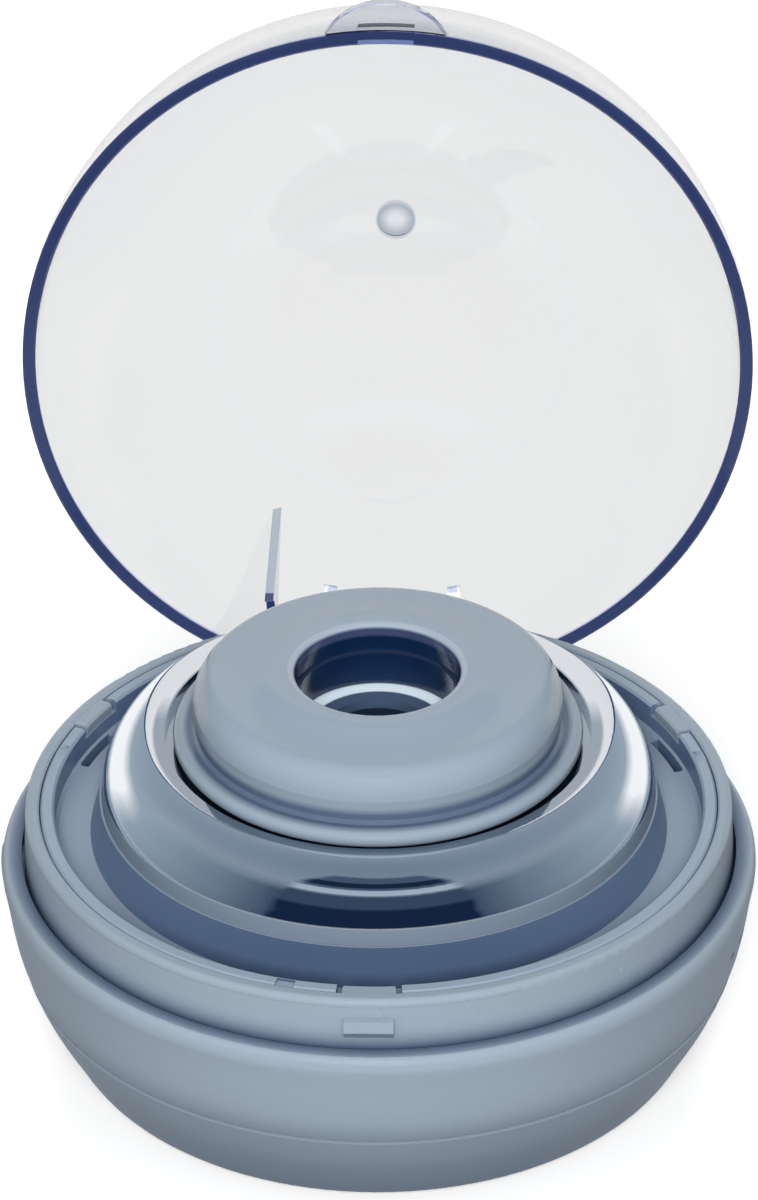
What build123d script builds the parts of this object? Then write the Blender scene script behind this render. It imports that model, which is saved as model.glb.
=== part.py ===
from build123d import *
import os
from math import cos, radians, sin, sqrt

os.makedirs("parts", exist_ok=True)

# A round travel case that cleans a soother with light.  Upright on its pad,
# front towards -Y, hinge at the back, +Z up, origin in the middle of the
# footprint on the table.  Millimetres.

# --------------------------------------------------------------- main sizes
case_radius = 49.85          # widest part of the case
lip_height = 28.0            # top edge of the case above the table
foot_proud = 0.5             # underside of the case above the table, on its pad
floor_thickness = 2.0
wall_thickness = 2.0
battery_length = 48.0
battery_width = 34.0
lid_open_angle = 93.0

# ------------------------------------------------------------ shared gaps
seat_gap = 0.1               # where one piece stands on another
stack_gap = 0.05             # between pieces pressed in a stack
part_line_gap = 0.05         # between the two shells
cut_spare = 0.5              # how far a cutter runs past what it cuts

# ---------------------------------------- outer profile, drops from the lip
seam_drop = 14.5             # joint between the lower and upper shells
flank_low_drop = 10.0
flank_mid_drop = 6.0
widest_drop = 2.5
lip_inset = 0.85
lip_width = 1.7
flank_mid_inset = 0.55
flank_low_inset = 1.15
seam_inset = 2.35
base_mid_inset = 2.3         # these three are counted from the seam
base_low_inset = 4.8
base_flat_inset = 7.9
base_mid_share = 0.57        # of the seam's height
base_low_share = 0.222
seam_groove = 0.25
seam_groove_width = 0.6
seam_land = 1.0
floor_corner_inset = 0.5
floor_corner_rise = 1.2

seam_height = lip_height - seam_drop
flank_low_height = lip_height - flank_low_drop
flank_mid_height = lip_height - flank_mid_drop
widest_height = lip_height - widest_drop
base_mid_height = seam_height * base_mid_share
base_low_height = seam_height * base_low_share
widest_radius = case_radius
lip_outer_radius = case_radius - lip_inset
lip_inner_radius = lip_outer_radius - lip_width
flank_mid_radius = case_radius - flank_mid_inset
flank_low_radius = case_radius - flank_low_inset
seam_radius = case_radius - seam_inset
base_mid_radius = seam_radius - base_mid_inset
base_low_radius = seam_radius - base_low_inset
base_flat_radius = seam_radius - base_flat_inset
underside = foot_proud
floor_top = underside + floor_thickness

# ----------------------------------------------------------- shell features
seam_wall = 1.9
under_shelf_wall = 1.8
tongue_fit = 0.25            # lower shell's tongue inside the upper shell
tongue_wall = 1.1
tongue_rise = 1.8
tongue_depth = 1.5
tongue_gusset = 0.6
tongue_gusset_drop = 1.2
shelf_drop = 5.6             # ledge the deck and the collar stand on
shelf_thickness = 2.0
shelf_width = 4.7

shell_inner_seam_radius = seam_radius - seam_wall
under_shelf_radius = flank_low_radius - under_shelf_wall
tongue_outer_radius = shell_inner_seam_radius - tongue_fit
tongue_inner_radius = tongue_outer_radius - tongue_wall
tongue_top = seam_height + tongue_rise
tongue_root = seam_height - tongue_depth
shelf_top = lip_height - shelf_drop
shelf_bottom = shelf_top - shelf_thickness
shelf_inner_radius = lip_inner_radius - shelf_width
wall_cut_start = shelf_inner_radius - 2 * cut_spare
wall_cut_depth = case_radius - wall_cut_start + cut_spare

# --------------------------------------------------------------- main board
board_drop = 15.5            # underside of the board from the lip
board_thickness = 1.6
board_edge_gap = 3.6
board_post_clearance = 0.4
board_tongue_half_width = 6.5
board_tongue_proud = 1.6
board_tongue_gap = 0.5
board_tongue_length = 10.0
tongue_notch_depth = 4.0
tongue_notch_height = 6.0
standoff_end_gap = 4.6       # standoffs from the ends and sides of the cell
standoff_side_gap = 9.0
standoff_radius = 2.6
board_screw_radius = 1.0
board_screw_hole_radius = board_screw_radius + 0.2
board_screw_pilot_radius = board_screw_radius + 0.05
board_screw_head_radius = 1.95
board_screw_head_height = 1.3
board_screw_length = 6.0
board_bottom = lip_height - board_drop
board_top = board_bottom + board_thickness
board_radius = shell_inner_seam_radius - board_edge_gap
board_tongue_reach = board_radius + board_tongue_proud
standoff_x = battery_length / 2 + standoff_end_gap
standoff_y = battery_width / 2 + standoff_side_gap
standoff_places = ((standoff_x, 0), (-standoff_x, 0), (0, standoff_y), (0, -standoff_y))

# parts soldered to the board
chip_x, chip_y = -6.0, 4.0
chip_side = 7.0
driver_x, driver_y = 8.0, -6.0
driver_length = 5.0
driver_width = 4.0
chip_height = 1.0
coil_x, coil_y = 12.0, 8.0
coil_side = 6.5
coil_round = 0.8
coil_height = 3.2
capacitor_x, capacitor_y = -14.0, -12.0
capacitor_spacing = 7.0
capacitor_radius = 2.5
capacitor_height = 5.4
connector_x, connector_y = 18.0, -16.0
connector_spacing = 18.0
connector_length = 7.5
connector_width = 4.5
connector_height = 4.5

# ------------------------------------------------------------------ battery
board_clearance = 2.3        # solder side of the board above the cell
battery_edge_round = 1.8
battery_corner_round = 1.5
pad_margin = 2.0
pad_thickness = 0.6
rib_thickness = 1.2
side_rib_length = 12.0
end_rib_length = 8.4
side_rib_spacing = 28.0
end_rib_spacing = 22.0
rib_height = 4.0
rib_gap = 0.4
pad_length = battery_length - 2 * pad_margin
pad_width = battery_width - 2 * pad_margin
battery_bottom = floor_top + pad_thickness + 2 * stack_gap
battery_thickness = board_bottom - board_clearance - battery_bottom
end_rib_x = battery_length / 2 + rib_gap + rib_thickness / 2
side_rib_y = battery_width / 2 + rib_gap + rib_thickness / 2

# ----------------------------------------------------- screws of the shells
post_inset = 11.8            # from the inside of the lip
post_radius = 2.9
post_count = 4
post_first_angle = 45.0
post_web_thickness = 1.6
post_web_bite = 0.7
post_web_clearance = 1.7
shell_screw_radius = 1.25
shell_screw_head_radius = 2.2
shell_screw_head_height = 1.4
shell_screw_length = 9.0
shell_screw_hole_radius = shell_screw_radius + 0.2
shell_screw_pilot_radius = shell_screw_radius + 0.05
shell_screw_counterbore_radius = shell_screw_head_radius + 0.25
shell_screw_counterbore_depth = 1.9
screw_pad_radius = 4.4
screw_pad_height = 1.5
driver_slot_width = 0.6
driver_slot_depth = 0.5
small_slot_length = 2.4
large_slot_length = 2.6
post_ring_radius = lip_inner_radius - post_inset
post_bottom = floor_top + screw_pad_height + seat_gap
post_web_bottom = board_top + post_web_clearance
post_web_reach = shell_inner_seam_radius + post_web_bite

# ---------------------------------------------------------------- foot pad
foot_screw_margin = 2.05
foot_fit = 0.2
foot_recess_depth = 0.5
foot_chamfer = 0.2
foot_radius = post_ring_radius - shell_screw_counterbore_radius - foot_screw_margin
foot_recess_radius = foot_radius + foot_fit

# ------------------------------------------------------------------- collar
# heights from here on are counted from the lip
collar_fit = 0.35
collar_draft = 0.35
collar_draft_height = -1.0
collar_width = 2.2
collar_crest_inset = 0.7
collar_top = 6.9
collar_shoulder_drop = 1.1
collar_round_inset = 0.15
collar_round_drop = 0.35
collar_inner_round = 0.25
collar_foot = seat_gap - shelf_drop
collar_shoulder = collar_top - collar_shoulder_drop
collar_outer_radius = lip_inner_radius - collar_fit
collar_top_outer_radius = collar_outer_radius - collar_draft
collar_crest_radius = collar_top_outer_radius - collar_crest_inset
collar_inner_radius = collar_outer_radius - collar_width

# --------------------------------------------------------------- deck liner
liner_fit = 0.15
liner_wall = 1.8
liner_skirt_wall = 1.7
liner_drop = 0.05
liner_edge_round = 0.3
deck_top = 2.8
deck_thickness = 2.0
deck_corner_round = 0.5
channel_width = 4.7
platform_draft = 1.35
platform_rim = 1.85
platform_top = 8.2
window_half_angle = 5.4      # cut-outs in the rim band round the collar tabs
window_floor = 5.3
window_cut = 3.0
drain_slot_angles = (-90.0, 23.5, 156.5)
drain_slot_half_angle = 5.5
drain_slot_inset = 0.3
drain_slot_width = 1.2
pad_recess_angles = (-104.0, 14.0, 166.0)
pad_recess_half_angle = 1.6
pad_recess_inset = 0.4
pad_recess_width = 2.0
pad_recess_depth = 0.35
nub_angles = (-128.0, -30.0, 52.0)
nub_radius = 0.7
nub_height = 0.9
liner_top = collar_top - liner_drop
liner_outer_radius = collar_inner_radius - liner_fit
liner_wall_inner_radius = liner_outer_radius - liner_wall
liner_skirt_inner_radius = liner_outer_radius - liner_skirt_wall
deck_bottom = deck_top - deck_thickness
platform_foot_radius = liner_wall_inner_radius - channel_width
platform_top_radius = platform_foot_radius - platform_draft
platform_inner_radius = platform_top_radius - platform_rim
drain_slot_outer_radius = liner_wall_inner_radius - drain_slot_inset
drain_slot_inner_radius = drain_slot_outer_radius - drain_slot_width
pad_recess_inner_radius = liner_wall_inner_radius + pad_recess_inset

# ----------------------------------------------- tabs and the front catch
tab_angles = (-90.0, 27.0, 153.0)
tab_half_angle = 4.35
tab_setback = 0.15           # tab's end behind the liner's wall
tab_thickness = 1.2
tab_drop = 0.1               # tab face below the collar's crest
tab_bite = 0.5
tab_edge_round = 0.3
catch_half_width = 3.15
catch_bottom = 1.5
catch_nose = 2.7
catch_top = 4.2
catch_proud = 1.1
catch_bite = 0.6
catch_heel = 0.85
catch_slope = 0.3
tab_reach_radius = liner_wall_inner_radius + tab_setback
catch_reach = collar_top_outer_radius + catch_proud
catch_root = collar_top_outer_radius - catch_bite

# ---------------------------------------------------- screws under the deck
deck_screw_angles = (-90.0, 36.0, 144.0)
deck_screw_inset = 3.7       # from the inside of the liner's skirt
deck_boss_radius = 2.9
deck_lug_radius = 4.0
deck_screw_radius = 1.25
deck_screw_hole_radius = deck_screw_radius + 0.2
deck_screw_pilot_radius = deck_screw_radius + 0.05
deck_screw_head_radius = 2.2
deck_screw_head_height = 1.4
deck_screw_length = 7.0
deck_screw_ring_radius = liner_skirt_inner_radius - deck_screw_inset

# ----------------------------------------------------------- reflector drum
drum_ledge = 0.25
drum_shoulder_width = 7.1
drum_shoulder_height = 9.1
drum_thickness = 1.4
drum_inner_arc_angle = 8.0
drum_lip_width = 1.4
drum_groove_width = 6.1
drum_groove_depth = 1.3
drum_crown_draft = 0.3
drum_crown_rise = 1.4
drum_crown_fall = 0.1        # crown dips this far towards its edge
drum_hole_radius = 7.1
drum_spigot_clearance = 0.1
drum_spigot_wall = 1.2
drum_spigot_depth = 1.8
drum_foot_rise = 0.3
drum_inner_step = 1.6
drum_lip_root = 0.9
drum_base = platform_top + seat_gap
drum_base_radius = platform_top_radius - drum_ledge
drum_shoulder_radius = drum_base_radius - drum_shoulder_width
drum_shoulder_top = drum_base + drum_shoulder_height
drum_groove_outer_radius = drum_shoulder_radius - drum_lip_width
drum_groove_inner_radius = drum_groove_outer_radius - drum_groove_width
drum_groove_floor = drum_shoulder_top - drum_groove_depth
drum_crown_edge_radius = drum_groove_inner_radius - drum_crown_draft
drum_crown_edge = drum_groove_floor + drum_crown_rise
drum_crown = drum_crown_edge + drum_crown_fall
drum_under = drum_crown - drum_thickness

# ---------------------------------------------------------- well and window
window_radius = 6.75
window_thickness = 1.1
window_fit = 0.15
well_wall = 1.8
well_flange_reach = 1.3
well_flange_thickness = 1.2
well_foot_reach = 3.8
well_foot_thickness = 1.6
well_floor_radius = 5.8
well_light_radius = 4.6
well_floor_thickness = 1.4
well_seat = deck_top + 0.2
well_depth_below_deck = 1.4
well_hole_clearance = 0.2
gasket_fit = 0.1
gasket_light_margin = 0.3
gasket_thickness = 0.55
window_ring_wall = 1.6
window_bore_radius = window_radius + window_fit
well_outer_radius = window_bore_radius + well_wall
well_hole_radius = well_outer_radius + well_hole_clearance
well_top_radius = drum_hole_radius
well_flange_radius = well_outer_radius + well_flange_reach
well_foot_radius = well_outer_radius + well_foot_reach
well_floor = well_seat + well_floor_thickness
well_bottom = deck_bottom - well_depth_below_deck
gasket_outer_radius = window_bore_radius - gasket_fit
gasket_inner_radius = well_light_radius + gasket_light_margin
window_ring_outer_radius = window_bore_radius - gasket_fit
window_ring_inner_radius = window_ring_outer_radius - window_ring_wall

# ---------------------------------------------------------------- LED board
led_board_radius = 18.5
led_board_thickness = 1.6
led_screw_inset = 3.0
led_screw_count = 3
led_boss_radius = 2.6
led_screw_radius = 0.95
led_screw_hole_radius = led_screw_radius + 0.15
led_screw_pilot_radius = led_screw_radius + 0.05
led_screw_head_radius = 1.9
led_screw_head_height = 1.3
led_pilot_roof = 0.8         # deck left over the pilot hole
led_screw_tip_gap = 0.4
uv_led_count = 3
uv_led_ring_radius = 2.6
uv_led_side = 3.0
uv_led_height = 1.0
uv_led_lens_radius = 1.1
uv_led_lens_height = 0.3
led_screw_ring_radius = led_board_radius - led_screw_inset
led_pilot_reach = deck_top - led_pilot_roof
led_screw_reach = led_pilot_reach - led_screw_tip_gap

# --------------------------------------------------------------- USB socket
usb_width = 8.94
usb_height = 3.2
usb_length = 8.6
usb_shell = 0.3
usb_depth = 6.2
usb_tongue_width = 6.7
usb_tongue_thickness = 0.7
usb_tongue_length = 5.0
usb_tongue_root = 0.2
usb_proud = 0.1              # socket's face outside the seam
usb_opening_margin = 0.2
usb_face_reach = seam_radius + usb_proud
usb_opening_width = usb_width + 2 * usb_opening_margin
usb_opening_height = usb_height + 2 * usb_opening_margin

# ------------------------------------------------------------- power button
button_height = -6.6         # button axis from the lip
button_radius = 4.7
button_fit = 0.3
button_proud = 0.25
button_flange_reach = 0.3
button_flange_inset = 3.0    # flange behind the flank
button_flange_thickness = 0.9
button_seat_gap = 0.3
button_blank_length = 6.0
button_stem_radius = 2.0
button_stem_length = 2.0
button_travel = 0.8
button_stem_gap = 0.1
button_pocket_margin = 1.0
button_pocket_drop = 6.0
button_pocket_depth = 8.0
button_relief_inset = 6.0
button_relief_length = 14.0
skirt_relief_height = -0.9
relief_depth = 8.0
switch_side = 6.0
switch_depth = 3.5
switch_stem_radius = 1.7
switch_stem_length = 0.7
button_board_thickness = 1.6
button_board_width = 12.0
button_board_drop = 2.0      # top edge of the board below the deck
button_hole_radius = button_radius + button_fit
button_flange_radius = button_hole_radius + button_flange_reach
button_flange_outer = flank_mid_radius - button_flange_inset
button_flange_inner = button_flange_outer - button_flange_thickness
button_seat = button_flange_outer + button_seat_gap
button_stem_end = button_flange_inner - button_stem_length
button_pocket_half_width = button_flange_radius + button_pocket_margin
button_pocket_bottom = button_height - button_pocket_drop
switch_stem_end = button_stem_end - button_travel - button_stem_gap
button_board_face = switch_stem_end - switch_stem_length - switch_depth
button_board_top = deck_bottom - button_board_drop

# --------------------------------------------------------------- indicators
indicator_angles = (-4.0, -8.5, -13.0, -17.5)
indicator_height = -7.3
indicator_slot_length = 2.8
indicator_slot_height = 1.3
indicator_clearance = 0.1
light_pipe_inset = 2.9       # ring of the light pipe behind the flank
light_pipe_width = 2.4
light_pipe_thickness = 2.0
light_pipe_tip_inset = 0.55
light_pipe_tip_root = 1.0
light_pipe_first_angle = -20.5
light_pipe_sweep = 19.5
indicator_relief_first_angle = -23.0
indicator_relief_sweep = 25.0
indicator_relief_gap = 0.2
indicator_relief_height = 4.2
indicator_relief_raise = 0.4
indicator_board_angle = -10.75
indicator_board_gap = 2.7
indicator_board_thickness = 1.0
indicator_board_width = 16.0
indicator_board_rise = 1.4
indicator_led_spacing = 3.4
indicator_led_width = 1.6
indicator_led_height = 1.2
indicator_led_depth = 0.8
light_pipe_outer_radius = flank_mid_radius - light_pipe_inset
light_pipe_inner_radius = light_pipe_outer_radius - light_pipe_width
light_pipe_tip_radius = flank_mid_radius - light_pipe_tip_inset
indicator_relief_outer_radius = light_pipe_outer_radius + indicator_relief_gap
indicator_relief_inner_radius = shelf_inner_radius - cut_spare
indicator_board_radius = light_pipe_inner_radius - indicator_board_gap

# -------------------------------------------------------------------- hinge
hinge_inset = 3.85           # hinge axis in from the widest part
hinge_height = -4.0          # hinge axis from the lip
pin_radius = 1.0
pin_fit = 0.05
pin_end_gap = 0.2
pin_chamfer = 0.2
arm_x = 8.9
arm_thickness = 1.9
arm_hub_radius = 2.2
arm_slot_clearance = 0.4
arm_slot_front_gap = 2.7
arm_slot_drop = 5.0
arm_slot_depth = 10.0
arm_slot_rise = 12.0
hinge_block_side = 3.1       # block beyond the middle of an arm
hinge_block_front_gap = 2.4
hinge_block_rise = 2.3
hinge_block_root = 0.5
hinge_block_bite = 0.4
hinge_relief_side = 1.0
hinge_relief_front_gap = 4.0
hinge_relief_gap = 0.3
lip_trim_radius = 4.3
lip_trim_side = 1.5
lip_trim_block = 8.0
hinge_y = case_radius - hinge_inset
arm_slot_width = arm_thickness + 2 * arm_slot_clearance
arm_slot_front = hinge_y - arm_slot_front_gap
arm_slot_bottom = hinge_height - arm_slot_drop
hinge_block_half_width = arm_x + hinge_block_side
hinge_block_front = hinge_y - hinge_block_front_gap
hinge_block_top = hinge_height + hinge_block_rise
hinge_relief_half_width = hinge_block_half_width + hinge_relief_side
hinge_relief_front = hinge_y - hinge_relief_front_gap
hinge_relief_top = hinge_block_top + hinge_relief_gap
lip_trim_half_width = hinge_block_half_width + lip_trim_side
pin_half_length = hinge_block_half_width - pin_end_gap

# ---------------------------------------------------------------------- lid
lid_setback = 0.05           # lid's rim inside the widest part of the case
lid_thickness = 1.75
lid_rim_height = 0.3
lid_edge_round = 0.3
lid_edge_angle = 0.35
lid_tab_half_width = 8.5
lid_tab_proud = 4.2
lid_tab_thickness = 1.7
lid_tab_bite = 0.8
latch_bottom = 1.2
latch_top = 5.4
latch_clearance = 0.9
latch_half_angle = 4.4
latch_cut_width = 4.0
gate_radius = 2.8
gate_depth = 0.3
rib_proud = 1.4
rib_depth = 2.4
rib_rise = 20.0
arm_front = 0.8              # arm's outline, counted from the hinge axis
arm_front_rise = 1.2
arm_top_reach = 3.3
arm_back_reach = 3.5
arm_heel_reach = 2.1
arm_heel_drop = 0.6
arm_rim_overlap = 0.5
lid_outer_radius = case_radius - lid_setback
lid_inner_radius = lid_outer_radius - lid_thickness
lid_centre = lip_height + lid_rim_height
latch_depth_radius = catch_reach + latch_clearance
rib_outer_radius = lid_outer_radius + rib_proud

# --------------------------------------------------- fin and its interlock
fin_x = -16.6
fin_thickness = 1.2
fin_tip = -0.6
fin_bite = 0.6               # fin sunk this far into the lid's wall
fin_front_gap = 0.6          # fin's front edge from the plunger's middle
fin_slot_half_width = 1.1
fin_slot_front_gap = 0.5
fin_slot_length = 3.5
fin_slot_rise = 6.0
fin_notch_floor = 4.3
collar_notch_floor = 5.2
collar_notch_gap = 2.8
collar_notch_depth = 9.0
liner_notch_depth = 8.0
notch_overlap = 1.0
notch_rise = 4.0
plunger_inset = 2.975        # plunger from the liner's wall
plunger_radius = 1.6
plunger_fit = 0.05
plunger_tip_gap = 0.45
plunger_flange_reach = 0.8
plunger_flange_thickness = 1.0
plunger_length = 7.95
plunger_boss_wall = 1.55
plunger_boss_drop = 6.3
interlock_side = 6.0
interlock_stem_radius = 1.5
interlock_stem_length = 0.65
interlock_stem_gap = 0.95
plunger_y = sqrt((liner_wall_inner_radius - plunger_inset) ** 2 - fin_x**2)
plunger_bore_radius = plunger_radius + plunger_fit
plunger_flange_radius = plunger_radius + plunger_flange_reach
plunger_top = fin_tip - plunger_tip_gap
plunger_end = plunger_top - plunger_length
plunger_boss_radius = plunger_bore_radius + plunger_boss_wall
plunger_boss_bottom = deck_bottom - plunger_boss_drop
interlock_stem_top = plunger_end - interlock_stem_gap
interlock_body_top = interlock_stem_top - interlock_stem_length
fin_front = plunger_y - fin_front_gap
fin_slot_front = fin_front - fin_slot_front_gap
fin_slot_back = fin_slot_front + fin_slot_length
collar_notch_front = liner_wall_inner_radius - collar_notch_gap
fin_arc_radius = sqrt((hinge_y - fin_front) ** 2 + (fin_tip - hinge_height) ** 2)

# --------------------------------------------------------------------- bell
bell_flange_clearance = 1.13
bell_flange_rise = 1.4
bell_flange_thickness = 2.45
bell_foot_inset = 1.27
bell_foot_chamfer = 0.4
bell_foot_chamfer_rise = 0.25
bell_shoulder_inset = 0.97
bell_side_inset = 2.67
bell_neck_inset = 0.2
bell_neck_fillet = 0.4
bell_neck_fillet_rise = 0.5
bell_side_rise = 3.3
bell_corner_width = 3.2
bell_corner_height = 4.05
bell_crown_rise = 0.95
bell_hole_radius = 10.8
bell_bead_width = 0.9
bell_hole_round = 0.8
bell_tube_wall = 1.6
bell_tube_step_width = 0.4
bell_tube_step_depth = 4.1
bell_tube_gap = 0.6          # end of the inner tube above the drum
bell_side_wall = 1.9
bell_roof_thickness = 1.9
bell_inner_corner = 1.0
bell_inner_corner_drop = 0.9
bell_bottom = drum_groove_floor + stack_gap
bell_flange_radius = drum_groove_outer_radius - bell_flange_clearance
bell_flange_height = bell_bottom + bell_flange_rise
bell_flange_top = bell_bottom + bell_flange_thickness
bell_flange_foot_radius = bell_flange_radius - bell_foot_inset
bell_flange_shoulder_radius = bell_flange_radius - bell_shoulder_inset
bell_side_radius = bell_flange_radius - bell_side_inset
bell_neck_radius = bell_side_radius - bell_neck_inset
bell_side_top = bell_flange_top + bell_side_rise
bell_top = bell_side_top + bell_corner_height + bell_crown_rise
bell_bead_radius = bell_hole_radius + bell_bead_width
bell_hole_round_height = bell_top - bell_hole_round
bell_tube_step = bell_top - bell_tube_step_depth
bell_tube_lower_radius = bell_hole_radius - bell_tube_step_width
bell_tube_outer_radius = bell_hole_radius + bell_tube_wall
bell_tube_bottom = drum_crown + bell_tube_gap
bell_inner_radius = bell_side_radius - bell_side_wall
bell_roof_height = bell_top - bell_roof_thickness
bell_inner_corner_radius = bell_inner_radius - bell_inner_corner
bell_inner_corner_height = bell_roof_height - bell_inner_corner_drop
bell_inner_side_top = bell_inner_corner_height - bell_inner_corner_drop

# --------------------------------------------------------------- work planes
lip_section = Plane(origin=(0, 0, lip_height), x_dir=(1, 0, 0), z_dir=(0, -1, 0))
hinge_axis = Axis((0, hinge_y, lip_height + hinge_height), (1, 0, 0))


def polar(radius, angle):
    return radius * cos(radians(angle)), radius * sin(radians(angle))


def radial_plane(angle, height):
    # local x runs outwards, local y up
    x, y = polar(1.0, angle)
    return Plane(origin=(0, 0, height), x_dir=(x, y, 0), z_dir=(y, -x, 0))


def facing_plane(radius, angle, height):
    # square to a radius: local x runs round the case, local y up
    x, y = polar(1.0, angle)
    return Plane(origin=(radius * x, radius * y, height), x_dir=(-y, x, 0), z_dir=(x, y, 0))


def side_plane(x):
    # looks along X: local x runs to the back, local y up from the lip
    return Plane(origin=(x, 0, lip_height), x_dir=(0, 1, 0), z_dir=(1, 0, 0))


def level(height):
    return Plane.XY.offset(lip_height + height)


def ring_places(ring_radius, angles):
    return [polar(ring_radius, angle) for angle in angles]


post_angles = [post_first_angle + 360 / post_count * i for i in range(post_count)]
post_places = ring_places(post_ring_radius, post_angles)
deck_screw_places = ring_places(deck_screw_ring_radius, deck_screw_angles)
led_screw_angles = [90 + 360 / led_screw_count * i for i in range(led_screw_count)]
led_screw_places = ring_places(led_screw_ring_radius, led_screw_angles)
button_plane = Plane(origin=(0, 0, lip_height + button_height), x_dir=(0, 1, 0), z_dir=(-1, 0, 0))
usb_axis_height = board_top + usb_height / 2

# ==================================================================== shells
with BuildPart() as base_shell:
    with BuildSketch(Plane.XZ) as base_section:
        with BuildLine():
            Line((0, underside), (base_flat_radius, underside))
            wall = Spline(
                (base_flat_radius, underside),
                (base_low_radius, base_low_height),
                (base_mid_radius, base_mid_height),
                (seam_radius, seam_height - seam_groove),
                tangents=((1, 0), (0.35, 1)),
            )
            Polyline(
                wall @ 1,
                (seam_radius - seam_groove_width, seam_height),
                (tongue_outer_radius, seam_height),
                (tongue_outer_radius, tongue_top),
                (tongue_inner_radius, tongue_top),
                (tongue_inner_radius, tongue_root),
                (tongue_inner_radius + tongue_gusset, tongue_root - tongue_gusset_drop),
                (base_mid_radius - wall_thickness, base_mid_height),
                (base_low_radius - wall_thickness, base_low_height + floor_corner_rise),
                (base_flat_radius - floor_corner_inset, floor_top),
                (0, floor_top),
                (0, underside),
            )
        make_face()
    revolve(axis=Axis.Z)
    with BuildSketch(Plane.XY.offset(floor_top)):
        with Locations(*post_places):
            Circle(screw_pad_radius)
    extrude(amount=screw_pad_height)
    with BuildSketch(Plane.XY.offset(floor_top)):
        with Locations(*standoff_places):
            Circle(standoff_radius)
    extrude(amount=board_bottom - floor_top - seat_gap)
    with BuildSketch(Plane.XY.offset(floor_top)):
        with GridLocations(2 * end_rib_x, end_rib_spacing, 2, 2):
            Rectangle(rib_thickness, end_rib_length)
        with GridLocations(side_rib_spacing, 2 * side_rib_y, 2, 2):
            Rectangle(side_rib_length, rib_thickness)
    extrude(amount=rib_height)
    with BuildSketch(Plane.XY.offset(underside)):
        Circle(foot_recess_radius)
    extrude(amount=foot_recess_depth, mode=Mode.SUBTRACT)
    with BuildSketch(Plane.XY.offset(underside)):
        with Locations(*post_places):
            Circle(shell_screw_counterbore_radius)
    extrude(amount=shell_screw_counterbore_depth, mode=Mode.SUBTRACT)
    with BuildSketch(Plane.XY.offset(underside)):
        with Locations(*post_places):
            Circle(shell_screw_hole_radius)
    extrude(amount=floor_thickness + screw_pad_height, mode=Mode.SUBTRACT)
    with BuildSketch(Plane.XY.offset(board_bottom - seat_gap)):
        with Locations(*standoff_places):
            Circle(board_screw_pilot_radius)
    extrude(amount=-(board_screw_length + cut_spare), mode=Mode.SUBTRACT)
    # gap in the tongue for the charging socket
    with Locations((0, tongue_outer_radius, seam_height)):
        Box(
            2 * board_tongue_half_width,
            tongue_notch_depth,
            tongue_notch_height,
            align=(Align.CENTER, Align.CENTER, Align.MIN),
            mode=Mode.SUBTRACT,
        )

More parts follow.
